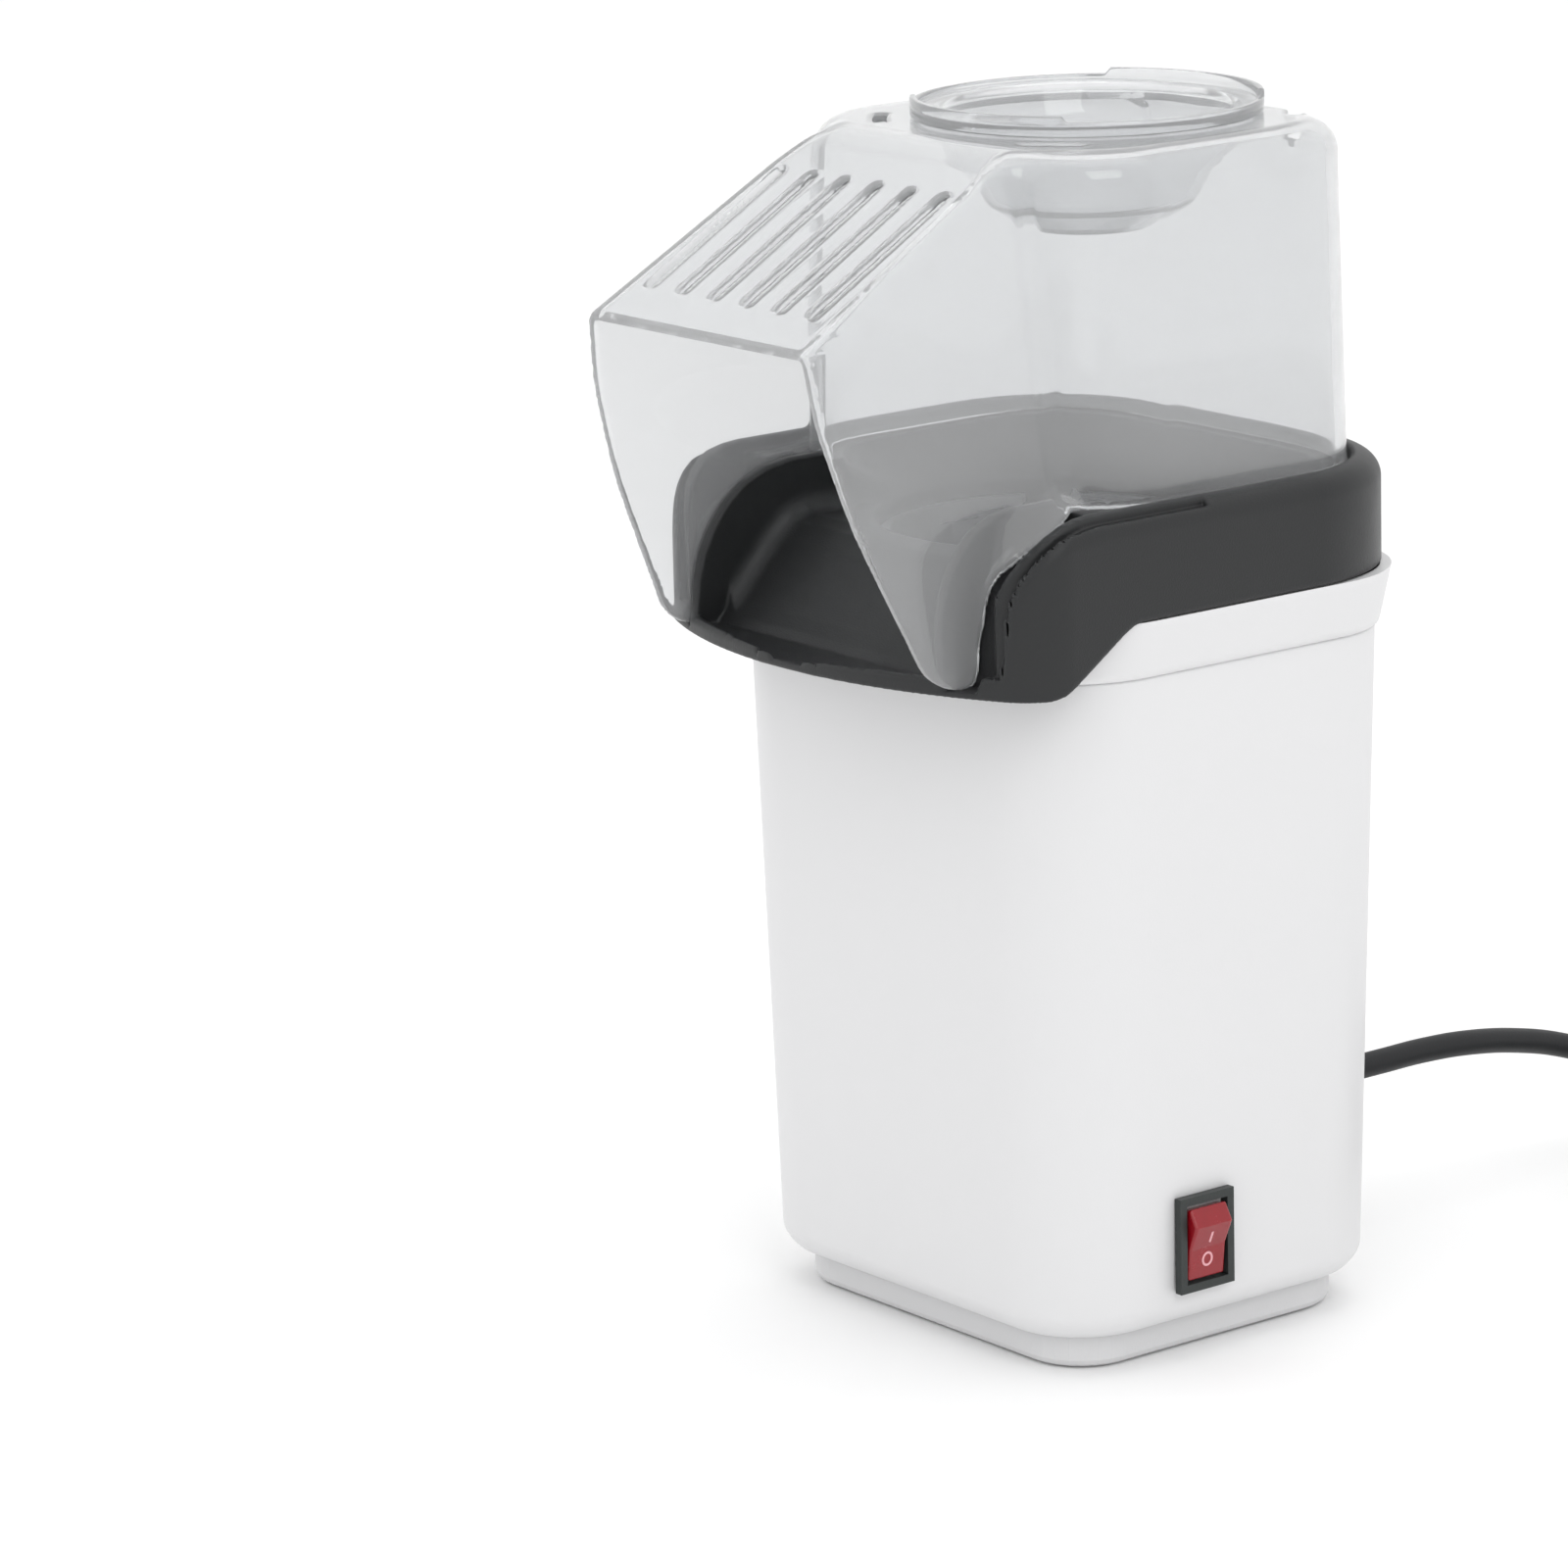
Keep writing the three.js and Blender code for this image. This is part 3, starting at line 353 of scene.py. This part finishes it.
def surface(field, low, high, step):
    """A smooth quad mesh where field is zero, inside a box, with its points drawn onto the surface."""
    low = np.array(low, float)
    size = [int(math.ceil((b - a) / step)) + 1 for a, b in zip(low, high)]
    axes = [a + step * np.arange(n) for a, n in zip(low, size)]
    grid = field(axes[0][:, None, None], axes[1][None, :, None], axes[2][None, None, :])
    value = np.broadcast_to(grid, size)
    inside = value < 0
    cell_ids, sums, quads = [], [], []
    for axis in range(3):
        at, first_in = edge_cells(inside, axis)
        one = np.eye(3, dtype=int)[axis]
        v0, v1 = value[tuple(at.T)], value[tuple((at + one).T)]
        point = at + one * (v0 / (v0 - v1))[:, None]
        u, w = np.eye(3, dtype=int)[(axis + 1) % 3], np.eye(3, dtype=int)[(axis + 2) % 3]
        around = [at - u - w, at - w, at, at - u]
        ids = np.stack([np.ravel_multi_index(tuple(c.T), size) for c in around], axis=1)
        cell_ids.append(ids.ravel())
        sums.append(np.repeat(point, 4, axis=0))
        quads.append(np.where(first_in[:, None], ids, ids[:, ::-1]))
    ids, inverse, counts = np.unique(np.concatenate(cell_ids), return_inverse=True, return_counts=True)
    sums = np.concatenate(sums)
    points = np.stack([np.bincount(inverse, sums[:, k]) / counts for k in range(3)], axis=1) * step + low
    points = drawn_on(field, points, step)
    return points, np.searchsorted(ids, np.concatenate(quads))


def drawn_on(field, points, step, rounds=3):
    """The points moved onto the surface along the field's slope."""
    e = 0.02
    for _ in range(rounds):
        x, y, z = points.T
        here = field(x, y, z)
        slope = np.stack([
            field(x + e, y, z) - field(x - e, y, z),
            field(x, y + e, z) - field(x, y - e, z),
            field(x, y, z + e) - field(x, y, z - e),
        ], axis=1) / (2 * e)
        move = -(here / np.maximum((slope**2).sum(1), 0.2))[:, None] * slope
        points = points + np.clip(move, -step / 2, step / 2)
    return points


# ---------------------------------------------------------------- power cord

ROUTE = [
    (0, 76.3, CORD_Z), (0, 84, CORD_Z), (0, 94, CORD_Z), (0, 106, CORD_Z), (0, 121, 32), (0, 137, 29.3),
    (0.6, 150, 25.8), (3, 162, 21), (7.5, 174, 15.5), (14, 184.5, 10.4), (22, 192, 6.6), (31, 196.8, 4.2),
    (40, 199.2, CORD_R + 0.1), (46, 199.9, CORD_R),
]
TAIL = ((161, 8.8), (156, 8.7), (151, 8.0), (147, 7.4), (143, 6.8), (139.3, 6.6))
TAIL = [(PLUG[0], y, z) for y, z in TAIL]
INNER, OUTER = 27.9, 34.1  # radii of the coil's turns
LOWER, UPPER = CORD_R, CORD_R + 5.9  # and their heights
TURNED = 1195  # degrees wound


def coil_turns():
    """The wound part: outside and then inside below, inside and then outside above."""
    points = []
    for turned in np.arange(12, TURNED, 12):
        r = OUTER
        r += (INNER - OUTER) * ramp(turned, 305, 350)
        r += (OUTER - INNER) * ramp(turned, 925, 970)
        z = LOWER + (UPPER - LOWER) * ramp(turned, 615, 660)
        t = math.radians(115 - turned)
        points.append((COIL[0] + r * math.cos(t), COIL[1] + r * math.sin(t), z))
    return points


def cord():
    """The cord as one curve: from the housing, down to the table, wound twice over, and to the plug."""
    points = metres(ROUTE + coil_turns() + TAIL)
    curve = bpy.data.curves.new("cord_line", "CURVE")
    curve.dimensions = "3D"
    curve.bevel_depth = CORD_R / 1000
    curve.bevel_resolution = 5
    curve.resolution_u = 6
    curve.use_fill_caps = True
    line = curve.splines.new("BEZIER")
    line.bezier_points.add(len(points) - 1)
    for knot, p in zip(line.bezier_points, points):
        knot.co = p
        knot.handle_left_type = knot.handle_right_type = "AUTO"
    curve.materials.append(LOOK["cord_black"])
    made = bpy.data.objects.new("cord_line", curve)
    bpy.context.scene.collection.objects.link(made)
    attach(made, "base")
    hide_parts("power_cord", "cord_coil", "cord_tail")
    return made, points


def relief():
    """The sleeve round the cord: a flange either side of the housing's wall, then a ribbed taper."""
    profile = [(5.6, 42), (6.4, 42.6), (6.4, 44.4), (4.6, 45), (4.6, 48.2), (7.4, 48.4), (8, 48.9)]
    profile += [(8, 49.7), (7.2, 50.2), (6.1, 50.8)]
    ribs = 7
    for i in range(ribs):
        y = 51.6 + i * 3.3
        r = 6.0 - 0.27 * i
        profile += [(r, y), (r, y + 1.7), (r - 0.9, y + 2.1), (r - 0.9, y + 2.9)]
    profile += [(3.9, 74.8), (3.7, 75.7), (3.1, 76.0)]
    sleeve = lathe_y(profile, CORD_Z)
    return piece("relief_sleeve", *sleeve, "cord_black", "base", ["strain_relief"], sharp=50)


def plug():
    """The plug's grip: a waisted body with finger ribs, tapering into its own relief."""
    stations = [
        (139, 3.3, 3.3), (137, 3.9, 3.9), (126, 4.9, 4.9), (122, 6.2, 5.6), (119, 9.0, 6.2),
        (114, 10.6, 6.5), (108, 10.2, 6.2), (102, 11.4, 6.5), (98.2, 11.8, 6.5), (97, 11.2, 6.0)]
    turn = np.arange(48) * 2 * np.pi / 48
    rings = []
    for y, a, b in smooth(stations, 5):
        power = 2 / (2 + 1.6 * ramp(-y, -124, -116))
        c, s = np.cos(turn), np.sin(turn)
        rib = 0.35 * ramp(-y, -118, -116) * ramp(y, 99, 101) * max(0, math.sin(y * 2.1))
        across = PLUG[0] + np.sign(s) * np.abs(s) ** power * (a - rib)
        rings.append(np.c_[across, np.full(48, y), PLUG[1] + np.sign(c) * np.abs(c) ** power * (b - rib)])
    grip = loft(rings, caps=(True, True))
    return piece("plug_grip", *grip, "cord_black", "base", ["plug_body"], sharp=60)


line, line_points = cord()
relief_sleeve = relief()
plug_grip = plug()

# ---------------------------------------------------------------- housing


def rounded_rect(a, b, r, steps=16, side=10):
    """A rounded rectangle of half sizes a and b, with points along its straights as well."""
    out = []
    for quarter, (cx, cy) in enumerate([(a - r, b - r), (r - a, b - r), (r - a, r - b), (a - r, r - b)]):
        for t in np.linspace(0, np.pi / 2, steps + 1):
            angle = t + quarter * np.pi / 2
            out.append((cx + r * math.cos(angle), cy + r * math.sin(angle)))
    out = np.array(out)
    full = []
    for p, q in zip(out, np.roll(out, -1, axis=0)):
        n = side if np.linalg.norm(q - p) > 8 else 1
        full += [p + (q - p) * k / n for k in range(n)]
    return np.array(full)


def wall_ring(z, d):
    """The housing's outline at a height, d inside its outer face."""
    low, high, flare = (55.6, 47.2, 21), (59.2, 50.3, 23.4), (62.4, 52.9, 26.6)
    t = np.clip((z - HOUSING_EDGE) / (STEP - HOUSING_EDGE), 0, 1)
    a, b, r = (p + (q - p) * t for p, q in zip(low, high))
    s = np.clip((z - STEP) / (SHELL_TOP - STEP), 0, 1)
    a, b, r = (p + (q - p) * s for p, q in zip((a, b, r), flare))
    return rounded_rect(a - d, b - d, r - d)


def shell_top(y):
    """The top edge's height: level behind, and falling with the collar's diagonal to the front."""
    return np.interp(y, [-53.2, -34.9], [152.0, SHELL_TOP])


def housing():
    """The shell: a rounded foot, a tapered wall, a fine step and a band cut down at the front."""
    outer = [(HOUSING_FOOT, 5.0), (8.3, 4.0), (8.9, 2.9), (9.6, 2.1)]
    outer += [(10.6, 1.25), (11.8, 0.5), (12.8, 0.12), (14, 0)]
    outer += [(z, 0) for z in np.linspace(20, 150, 14)]
    outer += [(151.0, 0), (STEP, 0.12), (151.55, 0.5), (151.8, -0.35), (BAND, -0.7)]
    rings = []
    for z, d in outer:
        ring = wall_ring(z, d)
        rings.append(np.c_[ring, np.full(len(ring), z)])
    for t in np.linspace(0.1, 1, 8):
        ring = wall_ring(BAND + (SHELL_TOP - BAND) * t, -BAND_OUT)
        height = BAND + 0.1 + (np.minimum(shell_top(ring[:, 1]), SHELL_TOP) - BAND - 0.1) * t
        true = np.array([wall_ring(h, -BAND_OUT)[k] for k, h in enumerate(height)])
        rings.append(np.c_[true, np.maximum(height, BAND + 0.1 + 0.02 * t)])
    last = rings[-1]
    for d in (0.8, 1.6, SHELL_WALL):
        ring = last.copy()
        away = ring[:, :2] - last[:, :2].mean(axis=0)
        ring[:, :2] -= away / np.linalg.norm(away, axis=1)[:, None] * d
        rings.append(ring)
    for z in (150, 120, 80, 40, 14, HOUSING_FOOT):
        ring = wall_ring(z, SHELL_WALL if z > HOUSING_FOOT else 5.6)
        rings.append(np.c_[ring, np.full(len(ring), z)])
    return piece("housing_shell", *loft(rings, loop=True), "shell", "base", ["housing"], sharp=40)


housing()

# ---------------------------------------------------------------- collar


def collar_plan(x, y):
    """Signed distance from the outline: a bulging front, small front corners and large rear ones."""
    half, corner_x, corner_r, bulge_y, bulge_r = 63.5, 49, 14.5, 52, 127
    x = np.abs(x)
    corner_y = bulge_y - math.sqrt((bulge_r - corner_r) ** 2 - corner_x**2)
    rear = both(x - half, y - 56.5, 38)
    corner = np.hypot(x - corner_x, y - corner_y) - corner_r
    bulge = np.hypot(x, y - bulge_y) - bulge_r
    in_bulge = x * (bulge_y - corner_y) < corner_x * (bulge_y - y)
    front = np.where(in_bulge, bulge, np.where(x > corner_x, corner, np.maximum(x - half, bulge)))
    return np.where(y > corner_y, np.where(y > 0, rear, x - half), front)


# Side profiles (y, z).
collar_side = polygon([
    (90, 120), (90, CREST), (-41, CREST), (-45, 187.5), (-49, 186.4), (-52.2, 184.8), (-55, 182.6),
    (-57.4, 180), (-59.3, 177), (-60.8, 173.4), (-61.6, 170), (-62, 166), (-62.1, 160), (-62.6, 157),
    (-64, LIP), (-90, LIP), (-90, 120)])
wall_side = polygon([
    (-33, 172), (-33, 187), (-44, 187), (-50.2, 186), (-56.2, 183.4), (-60.6, 179.6), (-64, 174.8),
    (-66.4, 169.4), (-67.5, 164), (-67.8, 152.2), (-61, 152.2), (-43, 171)])
collar_below = polygon([
    (90, 100), (90, SIDE_EDGE), (-31, SIDE_EDGE), (-33.5, 164.2), (-36, 162.8), (-49.5, 153.6),
    (-52, 152.2), (-55, 151.5), (-90, 151.3), (-90, 100)])
chute_floor = polygon([
    (0, 230), (0, 174.4), (-40, 174.4), (-44, 173.2), (-48, 169.6), (-58, 157.4), (-61.5, 154),
    (-65, 153.1), (-72, 152.9), (-100, 152.9), (-100, 230)])
slot_floor = polygon([
    (-90, 230), (-90, 152.8), (-60.4, 152.8), (-59, 155), (-58.2, 160.4), (-56.8, 164.2), (-55.8, 168),
    (-54, 171.6), (-51.3, 174), (-45.9, 177.2), (-41, 179.2), (-33, 183), (-33, 230)])


def chute_half(z):
    """Half the spout's width at a height."""
    return 36.5 + 0.123 * (225 - z)


def rounded_box(x, y, a, b, r):
    """Signed distance from a rounded rectangle of half sizes a and b."""
    u, v = np.abs(x) - a + r, np.abs(y) - b + r
    return np.hypot(np.maximum(u, 0), np.maximum(v, 0)) + np.minimum(np.maximum(u, v), 0) - r


def cheek_slot(x, y, z, inside):
    """Room for the hood's cheeks, outside the chute's own walls."""
    sides = np.minimum(both(inside, y + 41, 1.0), np.maximum(np.abs(x) - 50, y + 33))
    return np.maximum(both(slot_floor(y + 0 * z, z + 0 * y), sides, 0.8), chute_half(z) - 2.4 - np.abs(x))


def collar_block(x, y, z, plan, side):
    """The collar's outside, with a fine groove round the front of its rim."""
    block = both(plan, side, 1.6 + 3.6 * ramp(y, -60, -42))
    line = collar_plan(np.abs(x) + 2.4, y - 0.7)
    groove = np.maximum(np.maximum(np.abs(line) - 0.8, -2.0 - side), np.maximum(y + 12, 156 - z))
    return both(both(block, -groove, 0.3), -collar_below(y, z), 0.5)


def collar_bowl(x, y, z):
    """The funnel over the chamber, round below and squarer above."""
    mouth = ramp(z, 173, 187)
    return (np.hypot(x, y) - BOWL) * (1 - mouth) + rounded_box(x, y - 6.25, 49.5, 38.25, 22) * mouth


def collar_field(x, y, z):
    """The collar: a block less the bowl, the chute, the hood's ledge and slots; the chute has walls."""
    plan = collar_plan(x, y)
    side = collar_side(y + 0 * z, z + 0 * y)
    bowl = collar_bowl(x, y, z)
    trough = both(chute_floor(y, z), np.abs(x) - chute_half(z) + CHUTE_IN, 5)
    trough = np.minimum(both(trough, plan + 2.1, 0.8), both(trough, LIP + 0.4 - z, 0.4))
    notch = np.maximum(np.maximum(np.abs(np.abs(x) - 45.5) - 2.9, y + 60), 152.8 - z)
    opening = np.minimum(either(bowl, trough, 2), notch)
    inside = np.where(y > 0, plan + RIM, collar_plan(np.abs(x) + RIM, y))
    ledge = np.maximum(both(inside, -(side + CREST - LEDGE), 0.5), 153 - z)
    hollow = np.minimum(np.minimum(opening, ledge), cheek_slot(x, y, z, inside))
    ring = both(collar_block(x, y, z, plan, side), -hollow, 0.6)
    faces = np.abs(np.abs(x) - chute_half(z) + CHUTE_MIDDLE) - CHUTE_HALF
    wall = both(wall_side(y + 0 * z, z + 0 * y), faces, 0.7)
    wall = both(both(wall, plan + 0.3, 0.7), -bowl, 0.5)
    return np.minimum(ring, wall)


def bead(name, line, radius, look, body):
    """A thin raised line through points in mm."""
    curve = bpy.data.curves.new(name, "CURVE")
    curve.dimensions = "3D"
    curve.bevel_depth = radius / 1000
    curve.bevel_resolution = 3
    curve.use_fill_caps = True
    spline = curve.splines.new("POLY")
    spline.points.add(len(line) - 1)
    for knot, p in zip(spline.points, metres(line)):
        knot.co = (*p, 1)
    curve.materials.append(LOOK[look])
    made = bpy.data.objects.new(name, curve)
    bpy.context.scene.collection.objects.link(made)
    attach(made, body)
    return made


collar_mesh = surface(collar_field, (-65.5, -77, 146.5), (65.5, 58.5, 190), 0.6)
piece("collar_ring", *collar_mesh, "collar", "base", ["chute_collar"], sharp=0)

# ---------------------------------------------------------------- hood


def hood_rear(x, y, z, d):
    """The hood's rear, d inside its face: round front corners, and large squarer ones behind."""
    half = 52.6 - 2.4 * np.clip((z - SEAT) / 63.5, 0, 1) - d
    front, back = -38.2 + d, 48.9 - d
    x = np.abs(x)
    r, k = 33.0 - d, 2.9
    behind = (np.maximum(x - half + r, 0) ** k + np.maximum(y - back + r, 0) ** k) ** (1 / k)
    behind = behind + np.minimum(np.maximum(x - half, y - back) + r, 0) - r
    r = 26.0 - d
    before = np.hypot(np.maximum(x - half + r, 0), np.maximum(front - y + r, 0))
    before = before + np.minimum(np.maximum(x - half, front - y) + r, 0) - r
    return np.where(y > 5, behind, before)


slope_line = half_plane(*SLOPE)
hood_edge = smooth([
    (-96.2, 224), (-94.4, 211), (-92, 202), (-88, 189.5), (-84, 180), (-76.6, 164), (-73.5, 157.6),
    (-70.1, 154.6), (-66.4, 153.1), (-62.5, 153), (-60.8, 153.8), (-59.7, 156.6), (-58.9, 161),
    (-57.6, 164.8), (-56.6, 168.7), (-54.8, 172.5), (-51.9, 175.2), (-46.3, 178.2), (-40.7, 180.8),
    (-36, 183.4), (-33.6, SEAT)], 4)
hood_trim = polygon([(70, SEAT), (70, 300), (-95.8, 300), (-95.8, 226.2)] + [tuple(p) for p in hood_edge])


def hood_form(x, y, z, d):
    """The hood's rear and spout, d inside their faces; the cheeks' lower edges turn out a little."""
    rear = hood_rear(x, y, z, d)
    lip = np.clip(1 + hood_trim(y, z) / 8.5, 0, 1) ** 2 * ramp(-y, 22, 31) * ramp(-z, -192, -184)
    lip = lip * (0.9 * ramp(y, -62.5, -55) + 2.6 * ramp(y, -58, -44))
    cheeks = np.maximum(np.abs(x) - chute_half(z) - lip + d, y + 12)
    form = either(rear, cheeks, 2.5)
    top = both(z - DECK + d, slope_line(y, z) + d, 3.0)
    edge = np.maximum(2.5 + 4.5 * ramp(y, -52, -30) - d, 0.8)
    return both(form, top, edge)


def slots(x, y, z):
    """Six long openings through the sloping plate."""
    (y1, z1), (y0, z0) = SLOPE
    run = math.hypot(y1 - y0, z1 - z0)
    along = ((y - y0) * (y1 - y0) + (z - z0) * (z1 - z0)) / run
    middle = ((-69.7 - y0) * (y1 - y0) + (241.7 - z0) * (z1 - z0)) / run
    across = np.abs(x)
    column = np.minimum(np.minimum(np.abs(across - 5.4), np.abs(across - 16.2)), np.abs(across - 27))
    slot = np.hypot(column, np.maximum(np.abs(along - middle) - 19.5, 0)) - 1.5
    return np.maximum(slot, 200 - z)


def vents(x, y, z):
    """Four short arcs through the deck round the cup."""
    r = np.hypot(x, y - CUP_Y)
    angle = np.degrees(np.arctan2(y - CUP_Y, x)) % 180
    angle = np.minimum(np.abs(angle - 50), np.abs(angle - 130))
    arc = np.hypot(np.abs(r - 44), np.maximum(angle - 7.5, 0) * 0.768) - 1.4
    return np.maximum(arc, DECK - 8 - z)


def hood_field(x, y, z):
    """The hood's thin shell with its slots, its vents and the hole for the cup."""
    outer = both(hood_form(x, y, z, 0), hood_trim(y, z), 0.4)
    inner = hood_form(x, y, z, HOOD_WALL)
    shell = both(outer, -inner, 0.7)
    hole = np.maximum(np.hypot(x, y - CUP_Y) - CUP_HOLE, DECK - 8 - z)
    cuts = np.minimum(np.minimum(slots(x, y, z), hole), vents(x, y, z))
    return both(shell, -cuts, 0.45)


hood_mesh = surface(hood_field, (-54.5, -98, 151.5), (54.5, 51, 260.5), 0.8)
hood = piece("hood_clear", *hood_mesh, "clear_plastic", "hood", ["hood"], sharp=0)
hood.visible_shadow = False

# ---------------------------------------------------------------- measuring cup


def cup():
    """A thin bowl, a flange on the deck and a low wall with higher tabs before and behind."""
    low, high, inner = 262.3, 263.6, 36.1
    outside = [(0.2, 235), (14, 235), (22, 240), (27, 248), (31, 255), (32.6, 259.1), (CUP_RIM, 259.1)]
    outside = rounded(outside + [(CUP_RIM, 260.6)], 1.0)
    inside = [(inner, 261.6), (inner, 261.1), (31.2, 260.7), (29.2, 255.4), (25.4, 249), (20.8, 241.6)]
    inside = rounded(inside + [(13.4, 236.8), (0.2, 236.8)], 1.2)
    steps = 192
    turn = np.arange(steps) * 2 * np.pi / steps
    off_axis = np.degrees(np.abs(np.arcsin(np.sin(turn))))
    top = low + (high - low) * ramp(off_axis, 47.2, 48.8)
    wall = [(CUP_RIM, top - 0.5), (37.35, top - 0.12), (36.85, top)]
    wall += [(36.35, top - 0.12), (inner, top - 0.5)]
    rings = [
        np.c_[r * np.cos(turn), CUP_Y + r * np.sin(turn), np.broadcast_to(z, steps)]
        for r, z in outside + wall + inside]
    bowl = loft(rings, caps=(True, True))
    made = piece("cup_clear", *bowl, "clear_plastic", "cup", ["measuring_cup"], sharp=40)
    made.visible_shadow = False


cup()

# ---------------------------------------------------------------- rocker switch

ROCKER = (56.5, -11.0, 26.6)
ROCKER_HALF = 5.1
TILT = math.radians(8)
rocker_side = polygon([(1.1, 8.1), (3.7, 4.8), (2.1, -1), (2.4, -7.8), (-2.6, -6.8), (-2.6, 6.8)])


def rocker_field(x, y, z):
    """The rocker: a nearly flat face up to a ridge, and a shorter one falling back above it."""
    u, w = x - ROCKER[0], z - ROCKER[2]
    u, w = u * math.cos(TILT) - w * math.sin(TILT), u * math.sin(TILT) + w * math.cos(TILT)
    return both(rocker_side(u, w), np.abs(y - ROCKER[1]) - ROCKER_HALF, 0.6)


def on_rocker(across, up, proud):
    """A point on the rocker's face."""
    face = np.interp(up, [-7.8, -1, 4.8], [2.4, 2.1, 3.7]) + proud
    x = ROCKER[0] + face * math.cos(TILT) + up * math.sin(TILT)
    z = ROCKER[2] - face * math.sin(TILT) + up * math.cos(TILT)
    return x, ROCKER[1] + across, z


rocker_mesh = surface(rocker_field, (52, -17.2, 17), (62.5, -4.8, 36.5), 0.22)
piece("rocker_cap", *rocker_mesh, "rocker_red", "rocker", ["switch_rocker"], sharp=0)
bead("mark_on", [on_rocker(0, up, -0.08) for up in (0.4, 1.7, 3.0)], 0.3, "mark", "rocker")
turns = np.linspace(0, 6.2832, 33)
loop = [on_rocker(1.25 * math.sin(t), -3.7 + 1.4 * math.cos(t), -0.08) for t in turns]
bead("mark_off", loop, 0.28, "mark", "rocker")

# ---------------------------------------------------------------- CAD pieces that keep their shape


def smoother():
    """Shades a mesh smooth but for its sharp edges."""
    group = bpy.data.node_groups.new("smooth_by_angle", "GeometryNodeTree")
    group.interface.new_socket("Geometry", in_out="INPUT", socket_type="NodeSocketGeometry")
    group.interface.new_socket("Geometry", in_out="OUTPUT", socket_type="NodeSocketGeometry")
    make = node_maker(group)
    start = make("NodeGroupInput")
    angle = make("GeometryNodeInputMeshEdgeAngle").outputs["Unsigned Angle"]
    limits = {0: angle, 1: math.radians(33)}
    flat = make("FunctionNodeCompare", limits, data_type="FLOAT", operation="GREATER_THAN")
    faces = {"Geometry": start.outputs[0], "Shade Smooth": True}
    faces = make("GeometryNodeSetShadeSmooth", faces, domain="FACE")
    edges = {"Geometry": faces.outputs[0], "Selection": flat.outputs[0], "Shade Smooth": False}
    edges = make("GeometryNodeSetShadeSmooth", edges, domain="EDGE")
    make("NodeGroupOutput", {0: edges.outputs[0]})
    return group


KEPT = {
    "base": ["base_plate"],
    "rubber": ["foot_"],
    "chamber": ["popping_chamber"],
    "jacket": ["heater_jacket"],
    "steel": ["base_screw_", "chamber_screw_", "motor_can", "motor_shaft", "motor_screw_"],
    "resistance_wire": ["heater_coil", "dropper_coil"],
    "mica": ["mica_plate_"],
    "inner_plastic": ["fan_housing", "motor_end_cap", "diode_", "thermal_fuse", "coil_tie"],
    "fan_plastic": ["fan_impeller"],
    "magnet": ["magnet_"],
    "copper": ["motor_rotor"],
    "board": ["rectifier_board"],
    "bezel": ["switch_body"],
    "brass": ["switch_terminal_", "plug_blade_", "thermostat"],
    "wire_sleeve": ["wire_"],
}


def dress_nodes():
    """Materials, softened edges and smooth shading for the CAD pieces that stay visible."""
    group = smoother()
    for name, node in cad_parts.items():
        if node.hide_render:
            continue
        looks = [look for look, starts in KEPT.items() if any(name.startswith(s) for s in starts)]
        node.data.materials.clear()
        node.data.materials.append(LOOK[looks[0]])
        bevel = node.modifiers.new("edges", "BEVEL")
        bevel.width = 0.0006 if name == "switch_body" else 0.0003
        bevel.segments = 2
        bevel.angle_limit = math.radians(40)
        bevel.use_clamp_overlap = True
        node.modifiers.new("smooth", "NODES").node_group = group


dress_nodes()

# ---------------------------------------------------------------- studio


def studio():
    """A pale floor, an even white surround and three soft lamps."""
    floor = bpy.data.meshes.new("floor")
    turn = np.arange(64) * 2 * np.pi / 64
    floor.from_pydata([(20 * math.cos(t), 20 * math.sin(t), 0) for t in turn], [], [tuple(range(64))])
    floor.materials.append(material("floor", "FAFAFA", rough=0.8, vary=0.004, bump=0.0, wear=0))
    made = bpy.data.objects.new("floor", floor)
    bpy.context.scene.collection.objects.link(made)
    world = bpy.data.worlds.new("studio")
    bpy.context.scene.world = world
    world.use_nodes = True
    world.node_tree.nodes["Background"].inputs["Color"].default_value = (1, 1, 1, 1)
    world.node_tree.nodes["Background"].inputs["Strength"].default_value = 1.0
    lamps = [
        ("key", (1.9, -0.6, 1.7), 1.2, 9),
        ("fill", (-1.6, -1.6, 1.2), 1.6, 3),
        ("top", (0.0, 0.3, 2.4), 2.0, 8),
    ]
    for name, where, size, power in lamps:
        data = bpy.data.lights.new(name, "AREA")
        data.size = size
        data.energy = power
        lamp = bpy.data.objects.new(name, data)
        lamp.location = where
        lamp.rotation_mode = "QUATERNION"
        lamp.rotation_quaternion = (Vector(where) - Vector((0, 0, 0.14))).to_track_quat("Z", "Y")
        bpy.context.scene.collection.objects.link(lamp)
    bpy.context.scene.view_settings.view_transform = "Standard"


studio()
